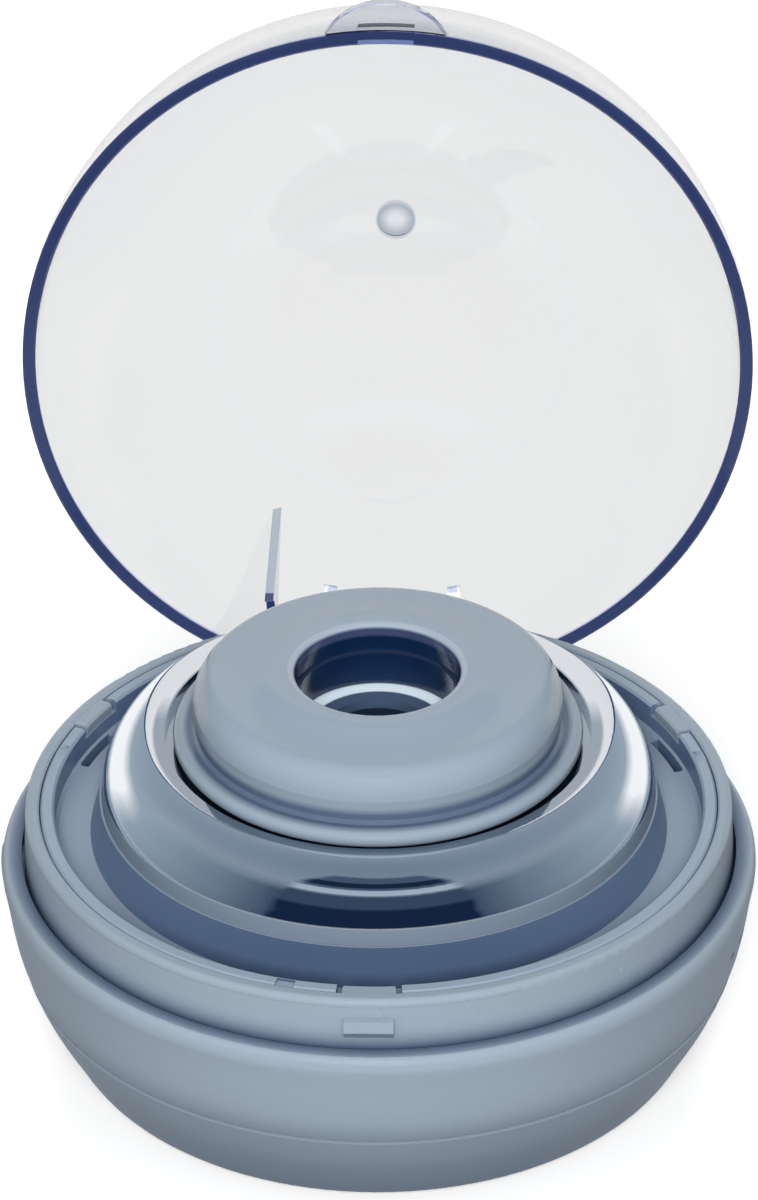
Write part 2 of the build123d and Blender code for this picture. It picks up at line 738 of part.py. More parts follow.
with BuildPart() as body_shell:
    with BuildSketch(Plane.XZ):
        with BuildLine():
            flank = Spline(
                (seam_radius, seam_height + seam_groove),
                (flank_low_radius, flank_low_height),
                (flank_mid_radius, flank_mid_height),
                (widest_radius, widest_height),
            )
            crest = Spline(flank @ 1, (lip_outer_radius, lip_height), tangents=(flank % 1, (-1, 0.35)))
            Polyline(
                crest @ 1,
                (lip_inner_radius, lip_height),
                (lip_inner_radius, shelf_top),
                (shelf_inner_radius, shelf_top),
                (shelf_inner_radius, shelf_bottom),
                (under_shelf_radius, shelf_bottom),
                (shell_inner_seam_radius, seam_height + seam_land),
                (shell_inner_seam_radius, seam_height + part_line_gap),
                (seam_radius - seam_groove_width, seam_height + part_line_gap),
                flank @ 0,
            )
        make_face()
    revolve(axis=Axis.Z)
    # lugs under the deck's bosses
    with BuildSketch(Plane.XY.offset(shelf_bottom)):
        with Locations(*deck_screw_places):
            Circle(deck_lug_radius)
    extrude(amount=shelf_thickness)
    # blocks that carry the hinge pin
    with BuildSketch(side_plane(-hinge_block_half_width)):
        with BuildLine():
            Polyline(
                (hinge_block_front, -shelf_drop - hinge_block_root),
                (hinge_block_front, hinge_block_top),
                (lip_inner_radius + hinge_block_bite, hinge_block_top),
                (lip_inner_radius + hinge_block_bite, -shelf_drop - hinge_block_root),
                close=True,
            )
        make_face()
    extrude(amount=2 * hinge_block_half_width)
    # posts for the case screws, each on a web from the wall
    with BuildSketch(Plane.XY.offset(post_bottom)):
        with Locations(*post_places):
            Circle(post_radius)
    extrude(amount=shelf_top - post_bottom)
    with BuildSketch(Plane.XY.offset(post_web_bottom)):
        for angle in post_angles:
            web_x, web_y = polar((post_ring_radius + post_web_reach) / 2, angle)
            with Locations(Location((web_x, web_y, 0), (0, 0, angle))):
                Rectangle(post_web_reach - post_ring_radius, post_web_thickness)
    extrude(amount=shelf_top - post_web_bottom)
    with BuildSketch(Plane.XY.offset(post_bottom)):
        with Locations(*post_places):
            Circle(shell_screw_pilot_radius)
    extrude(amount=shell_screw_length, mode=Mode.SUBTRACT)
    with BuildSketch(Plane.XY.offset(shelf_top)):
        with Locations(*deck_screw_places):
            Circle(deck_screw_hole_radius)
    extrude(amount=-shelf_thickness, mode=Mode.SUBTRACT)
    # slots the lid's two arms swing in
    for x in (-arm_x, arm_x):
        with Locations((x, arm_slot_front, lip_height + arm_slot_bottom)):
            Box(
                arm_slot_width,
                arm_slot_depth,
                arm_slot_rise,
                align=(Align.CENTER, Align.MIN, Align.MIN),
                mode=Mode.SUBTRACT,
            )
    # bore for the pin
    with BuildSketch(side_plane(-pin_half_length - seat_gap)):
        with Locations((hinge_y, hinge_height)):
            Circle(pin_radius + pin_fit)
    extrude(amount=2 * (pin_half_length + seat_gap), mode=Mode.SUBTRACT)
    # lip rounded back about the hinge so the lid's rim can swing past
    with BuildSketch(side_plane(-lip_trim_half_width)):
        with Locations((hinge_y, hinge_height)):
            Rectangle(lip_trim_block, lip_trim_block, align=(Align.MIN, Align.MIN))
        with Locations((hinge_y, hinge_height)):
            Circle(lip_trim_radius, mode=Mode.SUBTRACT)
    extrude(amount=2 * lip_trim_half_width, mode=Mode.SUBTRACT)
    # charging socket opening
    socket_cut_plane = Plane(origin=(0, wall_cut_start, usb_axis_height), x_dir=(-1, 0, 0), z_dir=(0, 1, 0))
    with BuildSketch(socket_cut_plane):
        SlotOverall(usb_opening_width, usb_opening_height)
    extrude(amount=wall_cut_depth, mode=Mode.SUBTRACT)
    # button hole, its flat seat inside, and the shelf left out behind it
    with BuildSketch(button_plane.offset(wall_cut_start)):
        Circle(button_hole_radius)
    extrude(amount=wall_cut_depth, mode=Mode.SUBTRACT)
    with Locations((-button_seat, 0, lip_height + button_pocket_bottom)):
        Box(
            button_pocket_depth,
            2 * button_pocket_half_width,
            skirt_relief_height - button_pocket_bottom,
            align=(Align.MIN, Align.CENTER, Align.MIN),
            mode=Mode.SUBTRACT,
        )
    # shelf left out behind the indicators
    with BuildSketch(radial_plane(indicator_relief_first_angle, lip_height)):
        relief_middle = (indicator_relief_inner_radius + indicator_relief_outer_radius) / 2
        with Locations((relief_middle, indicator_height + indicator_relief_raise)):
            Rectangle(
                indicator_relief_outer_radius - indicator_relief_inner_radius,
                indicator_relief_height,
            )
    revolve(axis=Axis.Z, revolution_arc=indicator_relief_sweep, mode=Mode.SUBTRACT)
    for angle in indicator_angles:
        with BuildSketch(facing_plane(wall_cut_start, angle, lip_height + indicator_height)):
            SlotOverall(indicator_slot_length, indicator_slot_height)
        extrude(amount=wall_cut_depth, mode=Mode.SUBTRACT)

# ==================================================================== collar
with BuildPart() as collar_ring:
    with BuildSketch(lip_section):
        with BuildLine():
            Polyline(
                (collar_inner_radius, collar_foot),
                (collar_outer_radius, collar_foot),
                (collar_outer_radius, collar_draft_height),
                (collar_top_outer_radius, collar_shoulder),
            )
            ThreePointArc(
                (collar_top_outer_radius, collar_shoulder),
                (collar_top_outer_radius - collar_round_inset, collar_top - collar_round_drop),
                (collar_crest_radius, collar_top),
            )
            Polyline(
                (collar_crest_radius, collar_top),
                (collar_inner_radius + collar_inner_round, collar_top),
                (collar_inner_radius, collar_top - collar_inner_round),
                (collar_inner_radius, collar_foot),
            )
        make_face()
    revolve(axis=Axis.Z)
    for angle in tab_angles:
        with BuildSketch(radial_plane(angle - tab_half_angle, lip_height)):
            with BuildLine():
                Polyline(
                    (tab_reach_radius, collar_top - tab_drop - tab_thickness),
                    (collar_inner_radius + tab_bite, collar_top - tab_drop - tab_thickness),
                    (collar_inner_radius + tab_bite, collar_top - tab_drop),
                    (tab_reach_radius + tab_edge_round, collar_top - tab_drop),
                    (tab_reach_radius, collar_top - tab_drop - tab_edge_round),
                    close=True,
                )
            make_face()
        revolve(axis=Axis.Z, revolution_arc=2 * tab_half_angle)
    # catch the lid's rim snaps over
    with BuildSketch(side_plane(-catch_half_width)):
        with BuildLine():
            Polyline(
                (-catch_root, catch_bottom),
                (-catch_root - catch_heel, catch_bottom),
                (-catch_reach, catch_nose),
                (-catch_reach + catch_slope, catch_top),
                (-catch_root, catch_top + catch_slope),
                close=True,
            )
        make_face()
    extrude(amount=2 * catch_half_width)
    # skirt left out round the hinge and behind the button
    with Locations((0, hinge_relief_front, lip_height + hinge_relief_top)):
        Box(
            2 * hinge_relief_half_width,
            relief_depth,
            relief_depth,
            align=(Align.CENTER, Align.MIN, Align.MAX),
            mode=Mode.SUBTRACT,
        )
    with Locations((-button_seat + button_relief_inset, 0, lip_height + skirt_relief_height)):
        Box(
            button_relief_length,
            2 * (button_pocket_half_width + cut_spare),
            relief_depth,
            align=(Align.CENTER, Align.CENTER, Align.MAX),
            mode=Mode.SUBTRACT,
        )
    # notch the lid's fin swings through
    with Locations((fin_x, collar_notch_front, lip_height + collar_notch_floor)):
        Box(
            2 * fin_slot_half_width,
            collar_notch_depth,
            notch_rise,
            align=(Align.CENTER, Align.MIN, Align.MIN),
            mode=Mode.SUBTRACT,
        )

# ================================================================ deck liner
with BuildPart() as deck_liner:
    with BuildSketch(lip_section) as liner_section:
        with BuildLine():
            Polyline(
                (liner_skirt_inner_radius, collar_foot),
                (liner_outer_radius, collar_foot),
                (liner_outer_radius, liner_top - liner_edge_round),
                (liner_outer_radius - liner_edge_round, liner_top),
                (liner_wall_inner_radius + liner_edge_round, liner_top),
                (liner_wall_inner_radius, liner_top - liner_edge_round),
                (liner_wall_inner_radius, deck_top + deck_corner_round),
                (liner_wall_inner_radius - deck_corner_round, deck_top),
                (platform_foot_radius, deck_top),
                (platform_top_radius, platform_top),
                (platform_inner_radius, platform_top),
                (platform_inner_radius, deck_top),
                (well_hole_radius, deck_top),
                (well_hole_radius, deck_bottom),
                (liner_skirt_inner_radius, deck_bottom),
                close=True,
            )
        make_face()
    revolve(axis=Axis.Z)
    with BuildSketch(level(deck_bottom)):
        with Locations(*deck_screw_places):
            Circle(deck_boss_radius)
    extrude(amount=collar_foot - deck_bottom)
    with BuildSketch(level(deck_bottom)):
        with Locations(*led_screw_places):
            Circle(led_boss_radius)
    extrude(amount=well_bottom - deck_bottom)
    with BuildSketch(level(deck_bottom)):
        with Locations((fin_x, plunger_y)):
            Circle(plunger_boss_radius)
    extrude(amount=plunger_boss_bottom - deck_bottom)
    with BuildSketch(level(collar_foot)):
        with Locations(*deck_screw_places):
            Circle(deck_screw_pilot_radius)
    extrude(amount=deck_screw_length, mode=Mode.SUBTRACT)
    with BuildSketch(level(well_bottom)):
        with Locations(*led_screw_places):
            Circle(led_screw_pilot_radius)
    extrude(amount=led_pilot_reach - well_bottom, mode=Mode.SUBTRACT)
    # cut-outs in the rim band for the collar's tabs, slots in the deck below
    for angle in tab_angles:
        with BuildSketch(radial_plane(angle - window_half_angle, lip_height)):
            with Locations(((liner_wall_inner_radius + liner_outer_radius) / 2, window_floor)):
                Rectangle(window_cut, window_cut, align=(Align.CENTER, Align.MIN))
        revolve(axis=Axis.Z, revolution_arc=2 * window_half_angle, mode=Mode.SUBTRACT)
    for angle in drain_slot_angles:
        with BuildSketch(radial_plane(angle - drain_slot_half_angle, lip_height)):
            with Locations((drain_slot_inner_radius, deck_bottom - cut_spare)):
                Rectangle(drain_slot_width, deck_thickness + 2 * cut_spare, align=(Align.MIN, Align.MIN))
        revolve(axis=Axis.Z, revolution_arc=2 * drain_slot_half_angle, mode=Mode.SUBTRACT)
    for angle in pad_recess_angles:
        with BuildSketch(radial_plane(angle - pad_recess_half_angle, lip_height)):
            with Locations((pad_recess_inner_radius, liner_top)):
                Rectangle(pad_recess_width, 2 * pad_recess_depth, align=(Align.MIN, Align.CENTER))
        revolve(axis=Axis.Z, revolution_arc=2 * pad_recess_half_angle, mode=Mode.SUBTRACT)
    for angle in nub_angles:
        with BuildSketch(level(deck_top)):
            with Locations(polar(liner_wall_inner_radius, angle)):
                Circle(nub_radius)
        extrude(amount=nub_height)
    # slot for the lid's fin, with the plunger's bore under it
    with Locations((fin_x, fin_slot_front, lip_height + deck_bottom)):
        Box(
            2 * fin_slot_half_width,
            fin_slot_length,
            deck_thickness + fin_slot_rise,
            align=(Align.CENTER, Align.MIN, Align.MIN),
            mode=Mode.SUBTRACT,
        )
    with Locations((fin_x, fin_slot_back - notch_overlap, lip_height + fin_notch_floor)):
        Box(
            2 * fin_slot_half_width,
            liner_notch_depth,
            notch_rise,
            align=(Align.CENTER, Align.MIN, Align.MIN),
            mode=Mode.SUBTRACT,
        )
    with BuildSketch(level(plunger_boss_bottom)):
        with Locations((fin_x, plunger_y)):
            Circle(plunger_bore_radius)
    extrude(amount=deck_bottom - plunger_boss_bottom, mode=Mode.SUBTRACT)
    # skirt left out round the hinge and behind the button
    with Locations((0, hinge_relief_front, lip_height + hinge_relief_top)):
        Box(
            2 * hinge_relief_half_width,
            relief_depth,
            relief_depth,
            align=(Align.CENTER, Align.MIN, Align.MAX),
            mode=Mode.SUBTRACT,
        )
    with Locations((-button_seat + button_relief_inset, 0, lip_height + skirt_relief_height)):
        Box(
            button_relief_length,
            2 * (button_pocket_half_width + cut_spare),
            relief_depth,
            align=(Align.CENTER, Align.CENTER, Align.MAX),
            mode=Mode.SUBTRACT,
        )

# ============================================================ reflector drum
with BuildPart() as reflector_drum:
    spigot_outer = platform_inner_radius - drum_spigot_clearance
    with BuildSketch(lip_section):
        with BuildLine():
            outer_arc = EllipticalCenterArc(
                (drum_shoulder_radius, drum_base),
                drum_shoulder_width,
                drum_shoulder_height,
                0,
                arc_size=90,
            )
            inner_arc = EllipticalCenterArc(
                (drum_shoulder_radius, drum_base),
                drum_shoulder_width - drum_thickness,
                drum_shoulder_height - drum_thickness,
                drum_inner_arc_angle,
                arc_size=90 - drum_inner_arc_angle,
            )
            Polyline(
                outer_arc @ 1,
                (drum_groove_outer_radius, drum_shoulder_top),
                (drum_groove_outer_radius, drum_groove_floor),
                (drum_groove_inner_radius, drum_groove_floor),
                (drum_crown_edge_radius, drum_crown_edge),
                (drum_hole_radius, drum_crown),
                (drum_hole_radius, drum_under),
                (drum_groove_inner_radius - drum_inner_step, drum_under),
                (drum_groove_inner_radius - drum_inner_step, drum_groove_floor - drum_thickness),
                (drum_groove_outer_radius + drum_lip_root, drum_groove_floor - drum_thickness),
                inner_arc @ 1,
            )
            Polyline(
                inner_arc @ 0,
                (spigot_outer - drum_spigot_wall, drum_base + drum_foot_rise),
                (spigot_outer - drum_spigot_wall, drum_base - drum_spigot_depth),
                (spigot_outer, drum_base - drum_spigot_depth),
                (spigot_outer, drum_base),
                outer_arc @ 0,
            )
        make_face()
    revolve(axis=Axis.Z)

# =========================================================== well and window
with BuildPart() as teat_well:
    well_top = drum_under - seat_gap
    foot_bottom = deck_top + seat_gap
    with BuildSketch(lip_section):
        with BuildLine():
            Polyline(
                (well_top_radius, well_top),
                (well_flange_radius, well_top),
                (well_flange_radius, well_top - well_flange_thickness),
                (well_outer_radius, well_top - well_flange_thickness),
                (well_outer_radius, foot_bottom + well_foot_thickness),
                (well_foot_radius, foot_bottom + well_foot_thickness),
                (well_foot_radius, foot_bottom),
                (well_outer_radius, foot_bottom),
                (well_outer_radius, well_bottom),
                (window_bore_radius, well_bottom),
                (window_bore_radius, well_seat),
                (well_light_radius, well_seat),
                (well_light_radius, well_floor),
                (well_floor_radius, well_floor),
                close=True,
            )
        make_face()
    revolve(axis=Axis.Z)

gasket_top = well_seat - stack_gap
window_top = gasket_top - gasket_thickness - stack_gap
ring_top = window_top - window_thickness - stack_gap

with BuildPart() as window_gasket:
    with BuildSketch(level(gasket_top)):
        Circle(gasket_outer_radius)
        Circle(gasket_inner_radius, mode=Mode.SUBTRACT)
    extrude(amount=-gasket_thickness)

with BuildPart() as uv_window:
    with BuildSketch(level(window_top)):
        Circle(window_radius)
    extrude(amount=-window_thickness)

with BuildPart() as window_ring:
    with BuildSketch(level(ring_top)):
        Circle(window_ring_outer_radius)
        Circle(window_ring_inner_radius, mode=Mode.SUBTRACT)
    extrude(amount=-(ring_top - well_bottom + stack_gap))

# ================================================================= LED board
led_board_top = well_bottom - seat_gap
led_board_bottom = led_board_top - led_board_thickness

with BuildPart() as led_board:
    with BuildSketch(level(led_board_top)):
        Circle(led_board_radius)
        with Locations(*led_screw_places):
            Circle(led_screw_hole_radius, mode=Mode.SUBTRACT)
    extrude(amount=-led_board_thickness)

with BuildPart() as uv_leds:
    with BuildSketch(level(led_board_top)):
        with PolarLocations(uv_led_ring_radius, uv_led_count, start_angle=90):
            Rectangle(uv_led_side, uv_led_side)
    extrude(amount=uv_led_height)
    with BuildSketch(level(led_board_top + uv_led_height)):
        with PolarLocations(uv_led_ring_radius, uv_led_count, start_angle=90):
            Circle(uv_led_lens_radius)
    extrude(amount=uv_led_lens_height)

with BuildPart() as led_board_screws:
    with BuildSketch(level(led_board_bottom)):
        with Locations(*led_screw_places):
            Circle(led_screw_head_radius)
    extrude(amount=-led_screw_head_height)
    with BuildSketch(level(led_board_bottom)):
        with Locations(*led_screw_places):
            Circle(led_screw_radius)
    extrude(amount=led_screw_reach - led_board_bottom)
    with BuildSketch(level(led_board_bottom - led_screw_head_height)):
        with Locations(*led_screw_places):
            Rectangle(small_slot_length, driver_slot_width)
            Rectangle(driver_slot_width, small_slot_length)
    extrude(amount=driver_slot_depth, mode=Mode.SUBTRACT)

# ================================================================ main board
with BuildPart() as main_board:
    with BuildSketch(Plane.XY.offset(board_bottom)):
        Circle(board_radius)
        with Locations((0, board_tongue_reach)):
            Rectangle(
                2 * (board_tongue_half_width - board_tongue_gap),
                board_tongue_length,
                align=(Align.CENTER, Align.MAX),
            )
        with Locations(*post_places):
            Circle(post_radius + board_post_clearance, mode=Mode.SUBTRACT)
        with Locations(*standoff_places):
            Circle(board_screw_hole_radius, mode=Mode.SUBTRACT)
    extrude(amount=board_thickness)

with BuildPart() as board_parts:
    with BuildSketch(Plane.XY.offset(board_top)):
        with Locations((chip_x, chip_y)):
            Rectangle(chip_side, chip_side)
        with Locations((driver_x, driver_y)):
            Rectangle(driver_length, driver_width)
    extrude(amount=chip_height)
    with BuildSketch(Plane.XY.offset(board_top)):
        with Locations((coil_x, coil_y)):
            RectangleRounded(coil_side, coil_side, coil_round)
    extrude(amount=coil_height)
    with BuildSketch(Plane.XY.offset(board_top)):
        with Locations((capacitor_x, capacitor_y), (capacitor_x + capacitor_spacing, capacitor_y)):
            Circle(capacitor_radius)
    extrude(amount=capacitor_height)
    with BuildSketch(Plane.XY.offset(board_top)):
        with Locations((connector_x, connector_y), (connector_x - connector_spacing, connector_y)):
            Rectangle(connector_length, connector_width)
    extrude(amount=connector_height)

with BuildPart() as board_screws:
    with BuildSketch(Plane.XY.offset(board_top)):
        with Locations(*standoff_places):
            Circle(board_screw_head_radius)
    extrude(amount=board_screw_head_height)
    with BuildSketch(Plane.XY.offset(board_top)):
        with Locations(*standoff_places):
            Circle(board_screw_radius)
    extrude(amount=-board_screw_length)
    with BuildSketch(Plane.XY.offset(board_top + board_screw_head_height)):
        with Locations(*standoff_places):
            Rectangle(small_slot_length, driver_slot_width)
            Rectangle(driver_slot_width, small_slot_length)
    extrude(amount=-driver_slot_depth, mode=Mode.SUBTRACT)

# =================================================================== battery
with BuildPart() as battery_pad:
    with BuildSketch(Plane.XY.offset(floor_top + stack_gap)):
        Rectangle(pad_length, pad_width)
    extrude(amount=pad_thickness)

with BuildPart() as battery:
    with BuildSketch(Plane.XY.offset(battery_bottom)):
        RectangleRounded(battery_length, battery_width, battery_corner_round)
    extrude(amount=battery_thickness)
    long_edges = battery.edges().filter_by(Axis.X)
    fillet(long_edges, battery_edge_round)

# ================================================================ USB socket
with BuildPart() as usb_socket:
    usb_plane = Plane(
        origin=(0, usb_face_reach, usb_axis_height),
        x_dir=(1, 0, 0),
        z_dir=(0, -1, 0),
    )
    with BuildSketch(usb_plane):
        SlotOverall(usb_width, usb_height)
    extrude(amount=usb_length)
    with BuildSketch(usb_plane):
        SlotOverall(usb_width - 2 * usb_shell, usb_height - 2 * usb_shell)
    extrude(amount=usb_depth, mode=Mode.SUBTRACT)
    with BuildSketch(usb_plane.offset(usb_depth + usb_tongue_root)):
        Rectangle(usb_tongue_width, usb_tongue_thickness)
    extrude(amount=-(usb_tongue_length + usb_tongue_root))

# ============================================================== power button
with BuildPart() as power_button:
    with BuildSketch(button_plane.offset(button_flange_outer)):
        Circle(button_radius)
    extrude(amount=button_blank_length)
    # outer face follows the case's flank, slightly proud of it
    with BuildSketch(Plane.XZ):
        with BuildLine():
            outer = Spline(
                (seam_radius + button_proud, seam_height),
                (flank_low_radius + button_proud, flank_low_height),
                (flank_mid_radius + button_proud, flank_mid_height),
                (widest_radius + button_proud, widest_height),
                (widest_radius, lip_height),
            )
            Polyline(outer @ 1, (0, lip_height), (0, seam_height), outer @ 0)
        make_face()
    revolve(axis=Axis.Z, mode=Mode.INTERSECT)
    with BuildSketch(button_plane.offset(button_flange_inner)):
        Circle(button_flange_radius)
    extrude(amount=button_flange_thickness)
    with BuildSketch(button_plane.offset(button_stem_end)):
        Circle(button_stem_radius)
    extrude(amount=button_stem_length)

with BuildPart() as button_switch:
    with BuildSketch(button_plane.offset(switch_stem_end - switch_stem_length)):
        Circle(switch_stem_radius)
    extrude(amount=switch_stem_length)
    with BuildSketch(button_plane.offset(switch_stem_end - switch_stem_length)):
        Rectangle(switch_side, switch_side)
    extrude(amount=-switch_depth)

with BuildPart() as button_board:
    with Locations((-button_board_face, 0, board_top + stack_gap)):
        Box(
            button_board_thickness,
            button_board_width,
            lip_height + button_board_top - board_top - stack_gap,
            align=(Align.MIN, Align.CENTER, Align.MIN),
        )

# ================================================================ indicators
with BuildPart() as light_pipe:
    with BuildSketch(radial_plane(light_pipe_first_angle, lip_height)):
        with Locations(((light_pipe_inner_radius + light_pipe_outer_radius) / 2, indicator_height)):
            Rectangle(light_pipe_outer_radius - light_pipe_inner_radius, light_pipe_thickness)
    revolve(axis=Axis.Z, revolution_arc=light_pipe_sweep)
    tip_root = light_pipe_inner_radius + light_pipe_tip_root
    for angle in indicator_angles:
        with BuildSketch(facing_plane(tip_root, angle, lip_height + indicator_height)):
            SlotOverall(
                indicator_slot_length - 2 * indicator_clearance,
                indicator_slot_height - 2 * indicator_clearance,
            )
        extrude(amount=light_pipe_tip_radius - tip_root)

indicator_plane = facing_plane(
    indicator_board_radius,
    indicator_board_angle,
    lip_height + indicator_height,
)

with BuildPart() as indicator_board:
    board_low = board_top + stack_gap - lip_height - indicator_height
    board_high = indicator_board_rise
    with BuildSketch(indicator_plane):
        with Locations((0, (board_low + board_high) / 2)):
            Rectangle(indicator_board_width, board_high - board_low)
    extrude(amount=-indicator_board_thickness)

with BuildPart() as indicator_leds:
    with BuildSketch(indicator_plane):
        for i in range(len(indicator_angles)):
            with Locations(((i - (len(indicator_angles) - 1) / 2) * indicator_led_spacing, 0)):
                Rectangle(indicator_led_width, indicator_led_height)
    extrude(amount=indicator_led_depth)

# ================================================================= interlock
with BuildPart() as interlock_plunger:
    with BuildSketch(level(plunger_end)):
        with Locations((fin_x, plunger_y)):
            Circle(plunger_radius)
    extrude(amount=plunger_top - plunger_end)
    with BuildSketch(level(plunger_boss_bottom - seat_gap)):
        with Locations((fin_x, plunger_y)):
            Circle(plunger_flange_radius)
    extrude(amount=-plunger_flange_thickness)

with BuildPart() as interlock_switch:
    with BuildSketch(Plane.XY.offset(board_top)):
        with Locations((fin_x, plunger_y)):
            Rectangle(interlock_side, interlock_side)
    extrude(amount=lip_height + interlock_body_top - board_top)
    with BuildSketch(level(interlock_body_top)):
        with Locations((fin_x, plunger_y)):
            Circle(interlock_stem_radius)
    extrude(amount=interlock_stem_length)

# ===================================================================== hinge
with BuildPart() as hinge_pin:
    with BuildSketch(side_plane(-pin_half_length)):
        with Locations((hinge_y, hinge_height)):
            Circle(pin_radius)
    extrude(amount=2 * pin_half_length)
    chamfer(hinge_pin.edges(), pin_chamfer)

# ======================================================================= lid
# fin that reaches down to the interlock, cut to the arc it swings on
with BuildPart() as lid_fin:
    with BuildSketch(side_plane(fin_x - fin_thickness / 2)):
        with Locations((fin_front, fin_tip)):
            Rectangle(case_radius - fin_front, case_radius, align=(Align.MIN, Align.MIN))
        with Locations((hinge_y, hinge_height)):
            Circle(fin_arc_radius, mode=Mode.SUBTRACT)
    extrude(amount=fin_thickness)
    with Locations((0, 0, lid_centre)):
        Sphere(lid_inner_radius + fin_bite, mode=Mode.INTERSECT)

with BuildPart() as lid:
    with BuildSketch(Plane.XZ):
        with BuildLine():
            Line((0, lid_centre + lid_inner_radius), (0, lid_centre + lid_outer_radius))
            dome_out = CenterArc((0, lid_centre), lid_outer_radius, lid_edge_angle, 90 - lid_edge_angle)
            dome_in = CenterArc((0, lid_centre), lid_inner_radius, lid_edge_angle, 90 - lid_edge_angle)
            Polyline(
                dome_out @ 0,
                (lid_outer_radius - lid_edge_round, lid_centre),
                (lid_inner_radius + lid_edge_round, lid_centre),
                dome_in @ 0,
            )
        make_face()
    revolve(axis=Axis.Z)
    # thumb tab, a half moon standing out of the rim
    with BuildSketch(Plane.XY.offset(lid_centre)):
        with BuildLine():
            tab_root = -sqrt((lid_outer_radius - lid_tab_bite) ** 2 - lid_tab_half_width**2)
            ThreePointArc(
                (-lid_tab_half_width, tab_root),
                (0, -lid_outer_radius - lid_tab_proud),
                (lid_tab_half_width, tab_root),
            )
            Line((lid_tab_half_width, tab_root), (-lid_tab_half_width, tab_root))
        make_face()
    extrude(amount=lid_tab_thickness)
    # arms and the ribs they run into
    for x in (arm_x - arm_thickness / 2, -arm_x - arm_thickness / 2):
        with BuildSketch(side_plane(x)):
            with Locations((hinge_y, hinge_height)):
                Circle(arm_hub_radius)
            with BuildLine():
                Polyline(
                    (hinge_y + arm_front, hinge_height + arm_front_rise),
                    (hinge_y + arm_front, lid_rim_height + arm_rim_overlap),
                    (hinge_y + arm_top_reach, lid_rim_height + arm_rim_overlap),
                    (hinge_y + arm_back_reach, lid_rim_height - arm_heel_drop),
                    (hinge_y + arm_heel_reach, hinge_height - arm_heel_drop),
                    close=True,
                )
            make_face()
        extrude(amount=arm_thickness)
        with BuildSketch(side_plane(x)):
            with BuildLine():
                low = sqrt(rib_outer_radius**2 - arm_x**2)
                high = sqrt(rib_outer_radius**2 - arm_x**2 - rib_rise**2)
                mid = sqrt(rib_outer_radius**2 - arm_x**2 - (rib_rise / 2) ** 2)
                rib_arc = ThreePointArc(
                    (low, lid_rim_height),
                    (mid, lid_rim_height + rib_rise / 2),
                    (high, lid_rim_height + rib_rise),
                )
                back_arc = ThreePointArc(
                    (low - rib_depth, lid_rim_height),
                    (mid - rib_depth, lid_rim_height + rib_rise / 2),
                    (high - rib_depth, lid_rim_height + rib_rise),
                )
                Line(rib_arc @ 0, back_arc @ 0)
                Line(rib_arc @ 1, back_arc @ 1)
            make_face()
        extrude(amount=arm_thickness)
    add(lid_fin.part)
    # bores for the pin
    with BuildSketch(side_plane(-pin_half_length)):
        with Locations((hinge_y, hinge_height)):
            Circle(pin_radius + pin_fit)
    extrude(amount=2 * pin_half_length, mode=Mode.SUBTRACT)
    # relief behind the rim that drops over the catch
    with BuildSketch(radial_plane(-90 - latch_half_angle, lip_height)):
        with Locations((latch_depth_radius, latch_bottom)):
            Rectangle(latch_cut_width, latch_top - latch_bottom, align=(Align.MAX, Align.MIN))
    revolve(axis=Axis.Z, revolution_arc=2 * latch_half_angle, mode=Mode.SUBTRACT)
    # moulding gate dimple at the pole
    with BuildSketch(Plane.XY.offset(lid_centre + lid_outer_radius - gate_depth)):
        Circle(gate_radius)
    extrude(amount=gate_depth + cut_spare, mode=Mode.SUBTRACT)

lid_open = lid.part.rotate(hinge_axis, -lid_open_angle)

# ====================================================================== bell
with BuildPart() as bell:
    with BuildSketch(lip_section):
        with BuildLine():
            corner_radius = bell_side_radius - bell_corner_width
            corner = EllipticalCenterArc(
                (corner_radius, bell_side_top),
                bell_corner_width,
                bell_corner_height,
                0,
                arc_size=90,
            )
            bead = Spline(
                (bell_hole_radius, bell_hole_round_height),
                (bell_bead_radius, bell_top),
                corner @ 1,
                tangents=((0, 1), (1, -0.03)),
            )
            Polyline(
                corner @ 0,
                (bell_neck_radius, bell_flange_top + bell_neck_fillet_rise),
                (bell_neck_radius + bell_neck_fillet, bell_flange_top),
                (bell_flange_shoulder_radius, bell_flange_top),
            )
            ThreePointArc(
                (bell_flange_shoulder_radius, bell_flange_top),
                (bell_flange_radius, bell_flange_height),
                (bell_flange_foot_radius + bell_foot_chamfer, bell_bottom + bell_foot_chamfer_rise),
            )
            Polyline(
                (bell_flange_foot_radius + bell_foot_chamfer, bell_bottom + bell_foot_chamfer_rise),
                (bell_flange_foot_radius, bell_bottom),
                (bell_inner_radius, bell_bottom),
                (bell_inner_radius, bell_inner_side_top),
                (bell_inner_corner_radius, bell_inner_corner_height),
                (bell_tube_outer_radius, bell_roof_height),
                (bell_tube_outer_radius, bell_tube_bottom),
                (bell_tube_lower_radius, bell_tube_bottom),
                (bell_tube_lower_radius, bell_tube_step),
                (bell_hole_radius, bell_tube_step),
                (bell_hole_radius, bell_hole_round_height),
            )
        make_face()
    revolve(axis=Axis.Z)

# ============================================================ screws and foot
with BuildPart() as deck_screws:
    with BuildSketch(Plane.XY.offset(shelf_bottom)):
        with Locations(*deck_screw_places):
            Circle(deck_screw_head_radius)
    extrude(amount=-deck_screw_head_height)
    with BuildSketch(Plane.XY.offset(shelf_bottom)):
        with Locations(*deck_screw_places):
            Circle(deck_screw_radius)
    extrude(amount=deck_screw_length + shelf_thickness - cut_spare)
    with BuildSketch(Plane.XY.offset(shelf_bottom - deck_screw_head_height)):
        with Locations(*deck_screw_places):
            Rectangle(large_slot_length, driver_slot_width)
            Rectangle(driver_slot_width, large_slot_length)
    extrude(amount=driver_slot_depth, mode=Mode.SUBTRACT)

